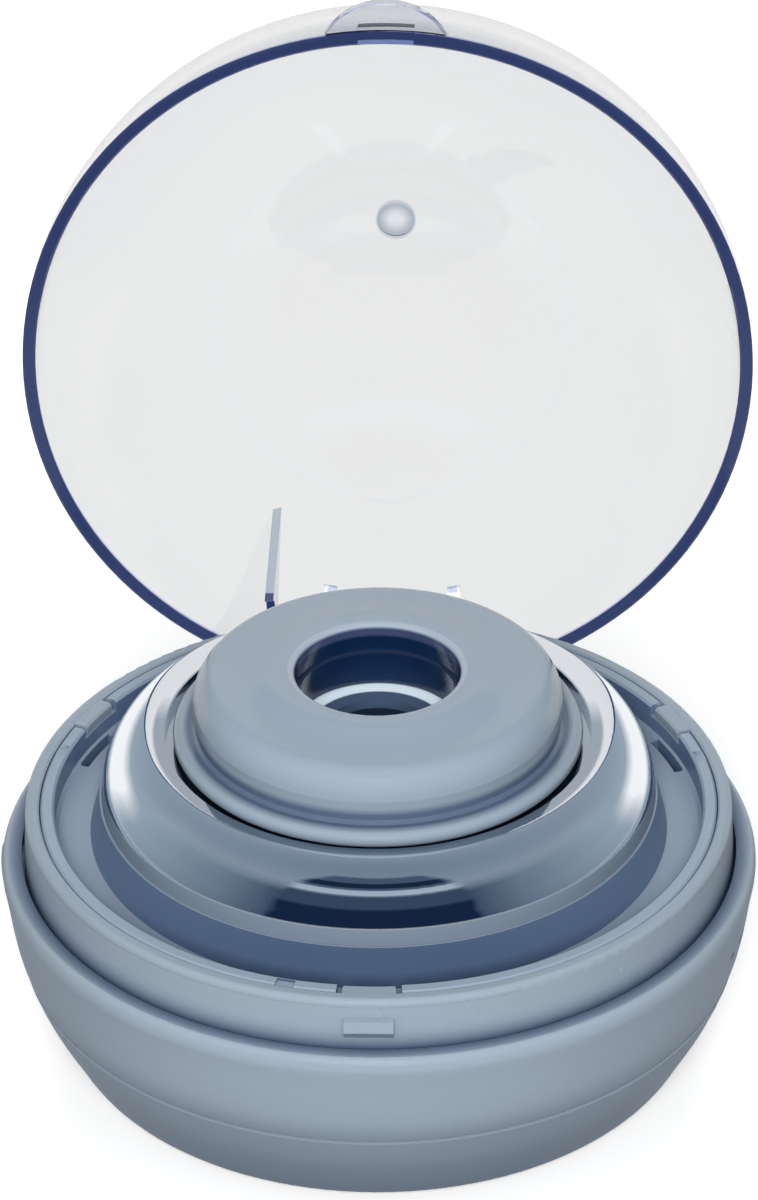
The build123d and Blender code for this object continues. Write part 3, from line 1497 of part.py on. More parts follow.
with BuildPart() as base_screws:
    head_top = underside + shell_screw_counterbore_depth
    with BuildSketch(Plane.XY.offset(head_top - stack_gap)):
        with Locations(*post_places):
            Circle(shell_screw_head_radius)
    extrude(amount=-shell_screw_head_height)
    with BuildSketch(Plane.XY.offset(head_top - stack_gap)):
        with Locations(*post_places):
            Circle(shell_screw_radius)
    extrude(amount=shell_screw_length)
    with BuildSketch(Plane.XY.offset(head_top - stack_gap - shell_screw_head_height)):
        with Locations(*post_places):
            Rectangle(large_slot_length, driver_slot_width)
            Rectangle(driver_slot_width, large_slot_length)
    extrude(amount=driver_slot_depth, mode=Mode.SUBTRACT)

with BuildPart() as foot_pad:
    with BuildSketch():
        Circle(foot_radius)
    extrude(amount=foot_proud + foot_recess_depth - stack_gap)
    chamfer(foot_pad.edges().group_by(Axis.Z)[0], foot_chamfer)

# ==================================================================== export
base_shell.part.label = "base_shell"
export_step(base_shell.part, "parts/base_shell.step")
body_shell.part.label = "body_shell"
export_step(body_shell.part, "parts/body_shell.step")
collar_ring.part.label = "collar_ring"
export_step(collar_ring.part, "parts/collar_ring.step")
deck_liner.part.label = "deck_liner"
export_step(deck_liner.part, "parts/deck_liner.step")
reflector_drum.part.label = "reflector_drum"
export_step(reflector_drum.part, "parts/reflector_drum.step")
teat_well.part.label = "teat_well"
export_step(teat_well.part, "parts/teat_well.step")
window_gasket.part.label = "window_gasket"
export_step(window_gasket.part, "parts/window_gasket.step")
uv_window.part.label = "uv_window"
export_step(uv_window.part, "parts/uv_window.step")
window_ring.part.label = "window_ring"
export_step(window_ring.part, "parts/window_ring.step")
led_board.part.label = "led_board"
export_step(led_board.part, "parts/led_board.step")
uv_leds.part.label = "uv_leds"
export_step(uv_leds.part, "parts/uv_leds.step")
led_board_screws.part.label = "led_board_screws"
export_step(led_board_screws.part, "parts/led_board_screws.step")
main_board.part.label = "main_board"
export_step(main_board.part, "parts/main_board.step")
board_parts.part.label = "board_parts"
export_step(board_parts.part, "parts/board_parts.step")
board_screws.part.label = "board_screws"
export_step(board_screws.part, "parts/board_screws.step")
battery_pad.part.label = "battery_pad"
export_step(battery_pad.part, "parts/battery_pad.step")
battery.part.label = "battery"
export_step(battery.part, "parts/battery.step")
usb_socket.part.label = "usb_socket"
export_step(usb_socket.part, "parts/usb_socket.step")
power_button.part.label = "power_button"
export_step(power_button.part, "parts/power_button.step")
button_switch.part.label = "button_switch"
export_step(button_switch.part, "parts/button_switch.step")
button_board.part.label = "button_board"
export_step(button_board.part, "parts/button_board.step")
light_pipe.part.label = "light_pipe"
export_step(light_pipe.part, "parts/light_pipe.step")
indicator_board.part.label = "indicator_board"
export_step(indicator_board.part, "parts/indicator_board.step")
indicator_leds.part.label = "indicator_leds"
export_step(indicator_leds.part, "parts/indicator_leds.step")
interlock_plunger.part.label = "interlock_plunger"
export_step(interlock_plunger.part, "parts/interlock_plunger.step")
interlock_switch.part.label = "interlock_switch"
export_step(interlock_switch.part, "parts/interlock_switch.step")
hinge_pin.part.label = "hinge_pin"
export_step(hinge_pin.part, "parts/hinge_pin.step")
lid_open.label = "lid"
export_step(lid_open, "parts/lid.step")
bell.part.label = "bell"
export_step(bell.part, "parts/bell.step")
deck_screws.part.label = "deck_screws"
export_step(deck_screws.part, "parts/deck_screws.step")
base_screws.part.label = "base_screws"
export_step(base_screws.part, "parts/base_screws.step")
foot_pad.part.label = "foot_pad"
export_step(foot_pad.part, "parts/foot_pad.step")
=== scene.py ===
import math

import bpy
from mathutils import Matrix, Vector

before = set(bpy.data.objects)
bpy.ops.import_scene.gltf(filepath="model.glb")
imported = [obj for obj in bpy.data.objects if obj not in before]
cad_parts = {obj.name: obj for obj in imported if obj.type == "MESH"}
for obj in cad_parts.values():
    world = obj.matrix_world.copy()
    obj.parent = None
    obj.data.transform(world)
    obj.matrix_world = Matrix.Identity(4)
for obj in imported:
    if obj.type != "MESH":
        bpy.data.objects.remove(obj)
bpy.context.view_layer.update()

# ------------------------------------------------------------ places, metres
LIP_HEIGHT = 0.0280                              # top of the body's lip over the floor
BORE_RADIUS = 0.0108                             # hole through the bell
LID_CENTRE = Vector((0.0, 0.05270, 0.06971))     # middle of the dome as it stands open
LID_MOUTH = Vector((0.0, -0.99863, 0.05234))     # way the open dome faces
DOME_OUTER = 0.0498
DOME_INNER = 0.04805
DIMPLE_RISE = -0.00246                           # the dimple's height over LID_CENTRE
HINGE_Y = 0.0460
HINGE_Z = 0.0240
FIN_X = -0.0166
FIN_HALF_WIDTH = 0.0009
FIN_ARC = 0.01094                                # fin's lower edge, from the hinge pin

# Borders between tones.  A mask is 0 at the first number and 1 at the second.
LIP_FLAT_HEIGHT = (LIP_HEIGHT - 0.0003, LIP_HEIGHT - 0.0001)
LIP_FLAT_EDGE = (0.0492, 0.0484)                 # from the case's axis, as all reaches
LIP_FLAT_FADE = (0.0470, 0.0484)
FACING_DOWN = (-0.20, -0.50)                     # upward part of the face's normal
COLLAR_FOOT_HEIGHT = (LIP_HEIGHT + 0.0034, LIP_HEIGHT - 0.0002)
COLLAR_OUTSIDE = (0.0455, 0.0460)
DECK_REACH = (0.0440, 0.0434)
DECK_STEEP = (0.75, 0.45)                        # upward part of the face's normal
DECK_FRONT_FADE = (-0.012, -0.036)               # along y
RING_REACH = (BORE_RADIUS + 0.0005, BORE_RADIUS + 0.0001)
SEAT_REACH = (0.0092, 0.0089)
GROOVE_REACH = (0.0284, 0.0281)
DRUM_LIP_REACH = (0.0297, 0.0293)
DRUM_LIP_FRONT = (0.008, 0.002)                  # along y
DRUM_TOP_HEIGHT = (LIP_HEIGHT + 0.0140, LIP_HEIGHT + 0.0150)
DRUM_FOOT_HEIGHT = (LIP_HEIGHT + 0.0108, LIP_HEIGHT + 0.0105)
DRUM_FOOT_REACH = (0.0345, 0.0350)
BORE_REACH = (BORE_RADIUS + 0.0006, BORE_RADIUS + 0.0002)
BEAD_BAND = (BORE_RADIUS - 0.0004, BORE_RADIUS + 0.0008, 0.0002)
UNDER_BEAD_HEIGHT = (LIP_HEIGHT + 0.0266, LIP_HEIGHT + 0.0262)
DEEP_BORE_HEIGHT = (LIP_HEIGHT + 0.0254, LIP_HEIGHT + 0.0250)
FLANGE_INNER = (0.0222, 0.0228)
FLANGE_OUTER = (0.0256, 0.0249)
FLANGE_HEIGHT = (LIP_HEIGHT + 0.0208, LIP_HEIGHT + 0.0198)
LID_RIM_HEIGHT = (-0.0011, -0.0004)              # along LID_MOUTH, from LID_CENTRE
LID_WALL_BAND = (DOME_INNER - 0.0002, DOME_OUTER + 0.0001, 0.0003)
LID_INSIDE = (DOME_INNER - 0.0002, DOME_INNER - 0.0005)
LID_OUTSIDE = (DOME_OUTER + 0.0002, DOME_OUTER + 0.0006)
LID_HINGE_END = (0.060, 0.055)                   # height over the floor
FIN_BAND = (FIN_X - FIN_HALF_WIDTH, FIN_X + FIN_HALF_WIDTH, 0.0002)
FIN_EDGE_REACH = (FIN_ARC + 0.0013, FIN_ARC + 0.0007)
DIMPLE_REACH = (0.0030, 0.0026)
DIMPLE_DEPTH = (-0.040, -0.045)                  # along LID_MOUTH, from LID_CENTRE
DIMPLE_FADE = (0.0009, 0.0025)


# ------------------------------------------------------------------- colours
def ink(red, green, blue):
    """A screen colour, 0 to 255, as the linear colour a socket holds."""
    def linear(level):
        level = level / 255
        return level / 12.92 if level <= 0.04045 else ((level + 0.055) / 1.055) ** 2.4
    return (linear(red), linear(green), linear(blue), 1.0)


def tinted(colour, factors, lift=0.0):
    """A colour with each channel multiplied by its own factor and lifted, at most 1."""
    return tuple(min(1.0, c * f + lift) for c, f in zip(colour[:3], factors)) + (1.0,)


BLACK = (0.0, 0.0, 0.0, 1.0)
WHITE = (1.0, 1.0, 1.0, 1.0)

CASE_BLUE = ink(162, 176, 189)
# painted shade under the case
CASE_UNDERSIDE_PAINTED_SHADE = ink(92, 110, 128)
# painted shade on the flat of the lip, darkest by the collar
LIP_PAINTED_SHADE_INNER = ink(64, 80, 106)
LIP_PAINTED_SHADE_OUTER = ink(128, 143, 163)
COLLAR_BLUE = ink(160, 174, 187)
# painted shade at the collar's foot
COLLAR_FOOT_PAINTED_SHADE = ink(72, 88, 114)
DECK_SLATE = ink(160, 176, 192)
# painted shade on the platform's wall, the second darker at the front
PLATFORM_PAINTED_SHADE = ink(110, 132, 164)
PLATFORM_FRONT_PAINTED_SHADE = ink(74, 94, 120)
BELL_BLUE = ink(158, 173, 187)
# painted highlight on the bead round the bell's bore
BELL_BEAD_HIGHLIGHT = ink(176, 188, 203)
BELL_FLANGE_SHADE = ink(84, 101, 128)
# painted shade inside the bell's bore
BORE_UPPER_PAINTED_SHADE = ink(64, 75, 110)
BORE_LOWER_PAINTED_SHADE = ink(8, 34, 68)
WELL_SLATE = ink(38, 56, 82)
BUTTON_BLUE = ink(150, 165, 180)

DRUM_BRIGHT = (0.86, 0.89, 0.92, 1.0)
# painted reflection of the bell on the drum's groove and lip
DRUM_PAINTED_BELL_REFLECTION = (0.38, 0.44, 0.51, 1.0)
DRUM_FOOT_SATIN = ink(124, 139, 156)
# painted reflection on the ring round the bore, and its painted glow
RING_PAINTED_REFLECTION = ink(215, 226, 234)
RING_PAINTED_GLOW = ink(148, 160, 170)
SEAT_BLUE = ink(92, 114, 144)

LID_WALL = (0.84, 0.845, 0.85, 1.0)
LID_ARM = (0.76, 0.79, 0.83, 1.0)
# painted glow of the arms
LID_ARM_PAINTED_GLOW = (0.32, 0.33, 0.34, 1.0)
LID_FIN = (0.20, 0.27, 0.37, 1.0)
LID_FIN_EDGE = ink(62, 80, 128)
# painted glow of the fin's lower edge
LID_FIN_EDGE_PAINTED_GLOW = ink(24, 34, 82)
LID_RIM = ink(70, 84, 132)
# painted glow of the rim
LID_RIM_PAINTED_GLOW = ink(48, 60, 102)
# painted highlight and painted shade in the lid's dimple
DIMPLE_PAINTED_HIGHLIGHT = (0.80, 0.82, 0.86, 1.0)
DIMPLE_PAINTED_SHADE = (0.40, 0.46, 0.54, 1.0)
LID_SHADOW = (0.93, 0.94, 0.95, 1.0)

DUST_GREY = (0.62, 0.63, 0.64, 1.0)
RUBBED_METAL = (0.93, 0.94, 0.95, 1.0)
# painted shade in corners keeps this much of red, green and blue
CORNER_FACTORS = (0.16, 0.21, 0.34)              # what a corner keeps of red, green, blue
RUBBED_FACTORS = (1.25, 1.25, 1.25)
RUBBED_LIFT = 0.04

# How strongly an area shows, or how it changes the roughness.
FLANGE_SHADE = 0.9
UNDERSIDE_SHADE = 0.6
DUST_ROUGHENS = 0.5
RUBBING_SMOOTHS = -0.06
FOOT_ROUGHENS = 0.35

POLYCARBONATE_INDEX = 1.50                       # how strongly each clear material bends light
QUARTZ_INDEX = 1.46


# ------------------------------------------------------------ node workbench
MIX_FIRST, MIX_SECOND, MIX_RESULT = 6, 7, 2      # the colour sockets of a mix node


class Bench:
    """Places and wires nodes in one material or one node group."""

    def __init__(self, tree):
        self.tree = tree
        tree.nodes.clear()

    def put(self, kind, values=None, **settings):
        node = self.tree.nodes.new(kind)
        for name, value in settings.items():
            setattr(node, name, value)
        for name, value in (values or {}).items():
            self.feed(node.inputs[name], value)
        return node

    def feed(self, socket, value):
        if isinstance(value, bpy.types.NodeSocket):
            self.tree.links.new(value, socket)
        else:
            socket.default_value = value

    def sum_of(self, operation, first, second=0.0, third=None, clamp=False):
        node = self.put("ShaderNodeMath", operation=operation, use_clamp=clamp)
        self.feed(node.inputs[0], first)
        self.feed(node.inputs[1], second)
        if third is not None:
            self.feed(node.inputs[2], third)
        return node.outputs[0]

    def both(self, first, second, clamp=False):
        """Mask of the places that both masks cover."""
        return self.sum_of("MULTIPLY", first, second, clamp=clamp)

    def vectors(self, operation, first, second=None):
        node = self.put("ShaderNodeVectorMath", operation=operation)
        self.feed(node.inputs[0], first)
        if second is not None:
            self.feed(node.inputs[1], second)
        return node

    def blend(self, mask, first, second, how="MIX"):
        node = self.put("ShaderNodeMix", data_type="RGBA", blend_type=how)
        self.feed(node.inputs["Factor"], mask)
        self.feed(node.inputs[MIX_FIRST], first)
        self.feed(node.inputs[MIX_SECOND], second)
        return node.outputs[MIX_RESULT]

    def pick(self, mask, first, second):
        """The first shader where the mask is 0 and the second where it is 1."""
        node = self.put("ShaderNodeMixShader")
        for socket, value in zip(node.inputs, (mask, first, second)):
            self.feed(socket, value)
        return node.outputs[0]

    def stretch(self, value, from_low, from_high, to_low, to_high):
        node = self.put("ShaderNodeMapRange")
        for name, amount in zip(
            ("Value", "From Min", "From Max", "To Min", "To Max"),
            (value, from_low, from_high, to_low, to_high),
        ):
            self.feed(node.inputs[name], amount)
        return node.outputs["Result"]

    def ramp(self, value, start, end):
        """Mask that is 0 at start and 1 at end."""
        return self.stretch(value, start, end, 0.0, 1.0)

    def band(self, value, low, high, soft):
        """Mask that is 1 between low and high and falls to 0 over soft on both sides."""
        return self.both(self.ramp(value, low - soft, low), self.ramp(value, high + soft, high))

    def grey(self, value):
        channels = {"Red": value, "Green": value, "Blue": value}
        return self.put("ShaderNodeCombineColor", channels).outputs["Color"]

    def parts(self, vector):
        node = self.put("ShaderNodeSeparateXYZ", {"Vector": vector})
        return node.outputs["X"], node.outputs["Y"], node.outputs["Z"]

    def across(self, first, second):
        """Length of the side that closes a right angle."""
        second_squared = self.sum_of("MULTIPLY", second, second)
        return self.sum_of("SQRT", self.sum_of("MULTIPLY_ADD", first, first, second_squared))

    def place(self):
        """The place in the part's own frame."""
        return self.put("ShaderNodeTexCoord").outputs["Object"]

    def facing_up(self):
        """Upward part of the face's normal."""
        return self.parts(self.put("ShaderNodeNewGeometry").outputs["Normal"])[2]

    def noise(self, where, scale, detail=2.0, rough=0.5):
        values = {"Vector": where, "Scale": scale, "Detail": detail, "Roughness": rough}
        return self.put("ShaderNodeTexNoise", values).outputs["Fac"]


# ------------------------------------------------------------ shared effects
GLOSS_FINENESS = 3.7                             # gloss patches, against tone patches
WAVE_COARSENESS = 0.02                           # waves, against the grain
EDGE_TURN = (0.995, 0.80)                        # cosine of the normal's turn at an edge
EDGE_BREAKS = (0.3, 0.7, 0.75, 1.0)              # noise levels, and the wear at each
EDGE_BREAK_SIZE = 420.0
DUST_SPECKS = (0.52, 0.75)
DUST_LEVEL = (0.2, 1.0)                          # upward part of the face's normal
OPEN_SKY = (1.0, 0.25)


def effect_group(name, inputs, outputs):
    """An empty node group whose inputs and outputs are all single values."""
    tree = bpy.data.node_groups.new(name, "ShaderNodeTree")
    for label, amount in inputs.items():
        socket = tree.interface.new_socket(
            name=label, in_out="INPUT", socket_type="NodeSocketFloat")
        socket.default_value = amount
    for label in outputs:
        tree.interface.new_socket(name=label, in_out="OUTPUT", socket_type="NodeSocketFloat")
    bench = Bench(tree)
    given = bench.put("NodeGroupInput").outputs
    return tree, bench, given, bench.put("NodeGroupOutput").inputs


def make_tone_drift():
    """Slow change of tone over a moulding, as pigment and gloss vary in the mould."""
    tree, b, given, out = effect_group(
        "tone drift",
        {"Size": 60.0, "Amount": 0.04, "Gloss Change": 0.05},
        ("Tone", "Roughness Shift"),
    )
    where = b.place()
    broad = b.sum_of("SUBTRACT", b.noise(where, given["Size"], 3.0), 0.5)
    gloss_size = b.sum_of("MULTIPLY", given["Size"], GLOSS_FINENESS)
    gloss = b.sum_of("SUBTRACT", b.noise(where, gloss_size, 4.0), 0.5)
    b.feed(out["Tone"], b.sum_of("MULTIPLY_ADD", broad, given["Amount"], 1.0))
    b.feed(out["Roughness Shift"], b.sum_of("MULTIPLY", gloss, given["Gloss Change"]))
    return tree


def make_fine_grain():
    """Very fine surface texture of the tool steel, as a bump height."""
    tree, b, given, out = effect_group(
        "fine grain", {"Size": 2600.0, "Waviness": 0.35}, ("Height",))
    where = b.place()
    grit = b.noise(where, given["Size"], 2.0, 0.6)
    wave_size = b.sum_of("MULTIPLY", given["Size"], WAVE_COARSENESS)
    wave = b.noise(where, wave_size, 1.0)
    b.feed(out["Height"], b.sum_of("MULTIPLY_ADD", wave, given["Waviness"], grit))
    return tree


def make_handled_edge():
    """Mask of sharp outer edges, which hands polish and lighten."""
    tree, b, given, out = effect_group(
        "handled edge", {"Width": 0.0004, "Strength": 1.0}, ("Mask",))
    rounded = b.put("ShaderNodeBevel", {"Radius": given["Width"]}, samples=4)
    plain = b.put("ShaderNodeNewGeometry")
    turn = b.vectors("DOT_PRODUCT", rounded.outputs["Normal"], plain.outputs["Normal"])
    bent = b.ramp(turn.outputs["Value"], *EDGE_TURN)
    broken = b.stretch(b.noise(b.place(), EDGE_BREAK_SIZE, 3.0), *EDGE_BREAKS)
    b.feed(out["Mask"], b.both(b.both(bent, broken), given["Strength"], clamp=True))
    return tree


def make_resting_dust():
    """Mask of the faint dust that lies on faces looking up."""
    tree, b, given, out = effect_group(
        "resting dust", {"Amount": 0.15, "Size": 900.0}, ("Mask",))
    specks = b.ramp(b.noise(b.place(), given["Size"], 4.0, 0.7), *DUST_SPECKS)
    level = b.ramp(b.facing_up(), *DUST_LEVEL)
    b.feed(out["Mask"], b.both(b.both(specks, level), given["Amount"], clamp=True))
    return tree


def make_corner_shade():
    """Mask of the corners and channels that little light reaches."""
    tree, b, given, out = effect_group(
        "corner shade", {"Reach": 0.008, "Depth": 0.5}, ("Mask",))
    open_sky = b.put("ShaderNodeAmbientOcclusion", {"Distance": given["Reach"]}, samples=6)
    hidden = b.ramp(open_sky.outputs["AO"], *OPEN_SKY)
    b.feed(out["Mask"], b.both(hidden, given["Depth"], clamp=True))
    return tree


TONE_DRIFT = make_tone_drift()
FINE_GRAIN = make_fine_grain()
HANDLED_EDGE = make_handled_edge()
RESTING_DUST = make_resting_dust()
CORNER_SHADE = make_corner_shade()


def effect(b, tree, **amounts):
    """Outputs of a shared effect in one material; an underscore stands for a space."""
    node = b.put("ShaderNodeGroup", node_tree=tree)
    for label, amount in amounts.items():
        b.feed(node.inputs[label.replace("_", " ")], amount)
    return node.outputs


# ----------------------------------------------------------- kinds of finish
def start_material(name):
    material = bpy.data.materials.new(name)
    material.use_nodes = True
    b = Bench(material.node_tree)
    shader = b.put("ShaderNodeBsdfPrincipled")
    out = b.put("ShaderNodeOutputMaterial")
    b.feed(out.inputs["Surface"], shader.outputs["BSDF"])
    return material, b, shader, out


def drift_tone(b, colour, drifted):
    """The colour with the slow drift of tone in it."""
    return b.blend(1.0, colour, b.grey(drifted["Tone"]), "MULTIPLY")


def drift_gloss(b, shader, drifted, rough):
    """Sets a roughness that follows the slow drift of gloss."""
    shifted = b.sum_of("ADD", rough, drifted["Roughness Shift"], clamp=True)
    b.feed(shader.inputs["Roughness"], shifted)


def raise_grain(b, shader, grained, depth, strength=1.0):
    """Turns the fine grain into relief of the given depth, in metres."""
    relief = {"Strength": strength, "Distance": depth, "Height": grained["Height"]}
    b.feed(shader.inputs["Normal"], b.put("ShaderNodeBump", relief).outputs["Normal"])


def moulded_plastic(
    name, colour, rough=0.28, drift=0.05, grain=0.00002, edge=0.05, dust=0.015,
    sheen=0.5, wave=0.35, shade=0.35, shade_reach=0.008, paint=None,
):
    """Injection-moulded plastic: tone drift, fine grain, handled edges, dust, painted shade in
    corners.

    paint, if given, takes the bench and the toned colour and hands back a colour of its own.
    """
    material, b, shader, _ = start_material(name)
    drifted = effect(b, TONE_DRIFT, Size=38.0, Amount=drift, Gloss_Change=0.08)
    grained = effect(b, FINE_GRAIN, Size=2400.0, Waviness=wave)
    rubbed = effect(b, HANDLED_EDGE, Width=0.00035, Strength=edge)["Mask"]
    dusted = effect(b, RESTING_DUST, Amount=dust, Size=1100.0)["Mask"]
    shaded = effect(b, CORNER_SHADE, Reach=shade_reach, Depth=shade)["Mask"]
    surface = drift_tone(b, colour, drifted)
    if paint:
        surface = paint(b, surface)
    surface = b.blend(shaded, surface, tinted(colour, CORNER_FACTORS))
    surface = b.blend(rubbed, surface, tinted(colour, RUBBED_FACTORS, RUBBED_LIFT))
    b.feed(shader.inputs["Base Color"], b.blend(dusted, surface, DUST_GREY))
    roughness = b.sum_of("ADD", rough, drifted["Roughness Shift"])
    roughness = b.sum_of("MULTIPLY_ADD", dusted, DUST_ROUGHENS, roughness)
    roughness = b.sum_of("MULTIPLY_ADD", rubbed, RUBBING_SMOOTHS, roughness, clamp=True)
    b.feed(shader.inputs["Roughness"], roughness)
    b.feed(shader.inputs["Specular IOR Level"], sheen)
    raise_grain(b, shader, grained, grain)
    return material


def bright_metal(
    name, colour, rough=0.3, drift=0.06, grain=0.00001, smudge=0.15, wave=0.2,
    size=1800.0, zones=None,
):
    """Metal with a drifting tone, fine scratches as grain, and faint handling smudges.

    zones, if given, lays down the areas that are not bright metal; it takes the
    bench, the shader, the metal's colour and its roughness, and hands back the
    last two.
    """
    material, b, shader, _ = start_material(name)
    drifted = effect(b, TONE_DRIFT, Size=55.0, Amount=drift, Gloss_Change=smudge)
    grained = effect(b, FINE_GRAIN, Size=size, Waviness=wave)
    rubbed = effect(b, HANDLED_EDGE, Width=0.0002, Strength=0.5)["Mask"]
    metal = b.blend(rubbed, drift_tone(b, colour, drifted), RUBBED_METAL)
    b.feed(shader.inputs["Metallic"], 1.0)
    if zones:
        metal, rough = zones(b, shader, metal, rough)
    b.feed(shader.inputs["Base Color"], metal)
    drift_gloss(b, shader, drifted, rough)
    raise_grain(b, shader, grained, grain)
    return material


def drum_zones(b, shader, metal, rough):
    """The drum's pale ring, a painted reflection with a painted glow, and the seat under the bore;
    a painted reflection of the bell on its groove and lip; its satin foot.
    """
    x, y, z = b.parts(b.place())
    reach = b.across(x, y)
    on_top = b.ramp(z, *DRUM_TOP_HEIGHT)
    groove = b.both(b.ramp(reach, *GROOVE_REACH), on_top)
    front = b.both(b.ramp(reach, *DRUM_LIP_REACH), b.ramp(y, *DRUM_LIP_FRONT))
    painted_darkening = b.sum_of("MAXIMUM", groove, b.both(front, on_top))
    metal = b.blend(painted_darkening, metal, DRUM_PAINTED_BELL_REFLECTION)
    ring = b.ramp(reach, *RING_REACH)
    seat = b.ramp(reach, *SEAT_REACH)
    metal = b.blend(ring, metal, b.blend(seat, RING_PAINTED_REFLECTION, SEAT_BLUE))
    # painted glow on the pale ring
    lifted = b.sum_of("SUBTRACT", ring, seat, clamp=True)
    b.feed(shader.inputs["Emission Color"], b.blend(lifted, BLACK, RING_PAINTED_GLOW))
    b.feed(shader.inputs["Emission Strength"], 1.0)
    foot = b.both(b.ramp(z, *DRUM_FOOT_HEIGHT), b.ramp(reach, *DRUM_FOOT_REACH))
    metal = b.blend(foot, metal, DRUM_FOOT_SATIN)
    bare = b.sum_of("MAXIMUM", ring, foot)
    b.feed(shader.inputs["Metallic"], b.sum_of("SUBTRACT", 1.0, bare))
    return metal, b.sum_of("MULTIPLY_ADD", foot, FOOT_ROUGHENS, rough)


def clear_dome():
    """Clear polycarbonate.

    The wall is nearly water-white.  Where it is seen end on, at the rim and at
    the fin's lower edge, it shows deep blue with a painted glow.  The fin and the
    ribs inside look grey-blue, because the light crosses more of them, and the
    arms are pale with a painted glow.
    """
    material, b, shader, out = start_material("clear_lid_polycarbonate")
    where = b.place()
    x, y, z = b.parts(where)
    from_centre = b.vectors("SUBTRACT", where, LID_CENTRE).outputs["Vector"]
    height = b.vectors("DOT_PRODUCT", from_centre, LID_MOUTH).outputs["Value"]
    reach = b.vectors("LENGTH", from_centre).outputs["Value"]
    rim = b.both(b.ramp(height, *LID_RIM_HEIGHT), b.band(reach, *LID_WALL_BAND), clamp=True)
    outside = b.ramp(reach, *LID_OUTSIDE)
    by_hinge = b.ramp(z, *LID_HINGE_END)
    standing = b.both(b.ramp(reach, *LID_INSIDE), by_hinge)
    arms = b.both(outside, by_hinge)
    from_hinge = b.across(b.sum_of("SUBTRACT", y, HINGE_Y), b.sum_of("SUBTRACT", z, HINGE_Z))
    fin_edge = b.both(b.band(x, *FIN_BAND), b.ramp(from_hinge, *FIN_EDGE_REACH))
    from_pole = b.across(x, b.sum_of("SUBTRACT", b.parts(from_centre)[2], DIMPLE_RISE))
    dimple = b.both(b.ramp(from_pole, *DIMPLE_REACH), b.ramp(height, *DIMPLE_DEPTH))
    # painted highlight in the dimple's middle, painted shade at its edge
    dimple_shading = b.blend(b.ramp(from_pole, *DIMPLE_FADE), DIMPLE_PAINTED_HIGHLIGHT, DIMPLE_PAINTED_SHADE)

    drifted = effect(b, TONE_DRIFT, Size=30.0, Amount=0.03, Gloss_Change=0.02)
    grained = effect(b, FINE_GRAIN, Size=900.0, Waviness=0.6)
    clear = b.blend(dimple, drift_tone(b, LID_WALL, drifted), dimple_shading)
    clear = b.blend(outside, clear, LID_ARM)
    clear = b.blend(standing, clear, LID_FIN)
    clear = b.blend(fin_edge, clear, LID_FIN_EDGE)
    b.feed(shader.inputs["Base Color"], b.blend(rim, clear, LID_RIM))
    glow = b.blend(rim, BLACK, LID_RIM_PAINTED_GLOW)
    glow = b.blend(arms, glow, LID_ARM_PAINTED_GLOW)
    b.feed(shader.inputs["Emission Color"], b.blend(fin_edge, glow, LID_FIN_EDGE_PAINTED_GLOW))
    b.feed(shader.inputs["Emission Strength"], 1.0)
    b.feed(shader.inputs["Transmission Weight"], 1.0)
    b.feed(shader.inputs["IOR"], POLYCARBONATE_INDEX)
    drift_gloss(b, shader, drifted, rough=0.02)
    raise_grain(b, shader, grained, depth=0.000004)

    let_through = b.put("ShaderNodeBsdfTransparent", {"Color": LID_SHADOW})
    shadow = b.put("ShaderNodeLightPath").outputs["Is Shadow Ray"]
    surface = b.pick(shadow, shader.outputs["BSDF"], let_through.outputs["BSDF"])
    b.feed(out.inputs["Surface"], surface)
    return material


def clear_piece(name, colour, rough=0.05):
    """Small clear piece, such as the window over the lamps."""
    material, b, shader, _ = start_material(name)
    drifted = effect(b, TONE_DRIFT, Size=200.0, Amount=0.06, Gloss_Change=0.06)
    grained = effect(b, FINE_GRAIN, Size=1500.0, Waviness=0.4)
    b.feed(shader.inputs["Base Color"], drift_tone(b, colour, drifted))
    b.feed(shader.inputs["Transmission Weight"], 1.0)
    b.feed(shader.inputs["IOR"], QUARTZ_INDEX)
    drift_gloss(b, shader, drifted, rough)
    raise_grain(b, shader, grained, depth=0.000005)
    return material


def circuit_board(name, mask_colour):
    """Board whose solder mask is paler over the copper and darker between."""
    material, b, shader, _ = start_material(name)
    tracks = b.put("ShaderNodeTexBrick", {
        "Vector": b.place(),
        "Scale": 260.0,
        "Color1": mask_colour,
        "Color2": tinted(mask_colour, (1.6, 1.6, 1.6)),
        "Mortar": tinted(mask_colour, (0.5, 0.5, 0.5)),
    })
    drifted = effect(b, TONE_DRIFT, Size=90.0, Amount=0.2, Gloss_Change=0.1)
    grained = effect(b, FINE_GRAIN, Size=1400.0, Waviness=0.5)
    b.feed(shader.inputs["Base Color"], drift_tone(b, tracks.outputs["Color"], drifted))
    drift_gloss(b, shader, drifted, rough=0.35)
    raise_grain(b, shader, grained, depth=0.00003, strength=0.6)
    return material


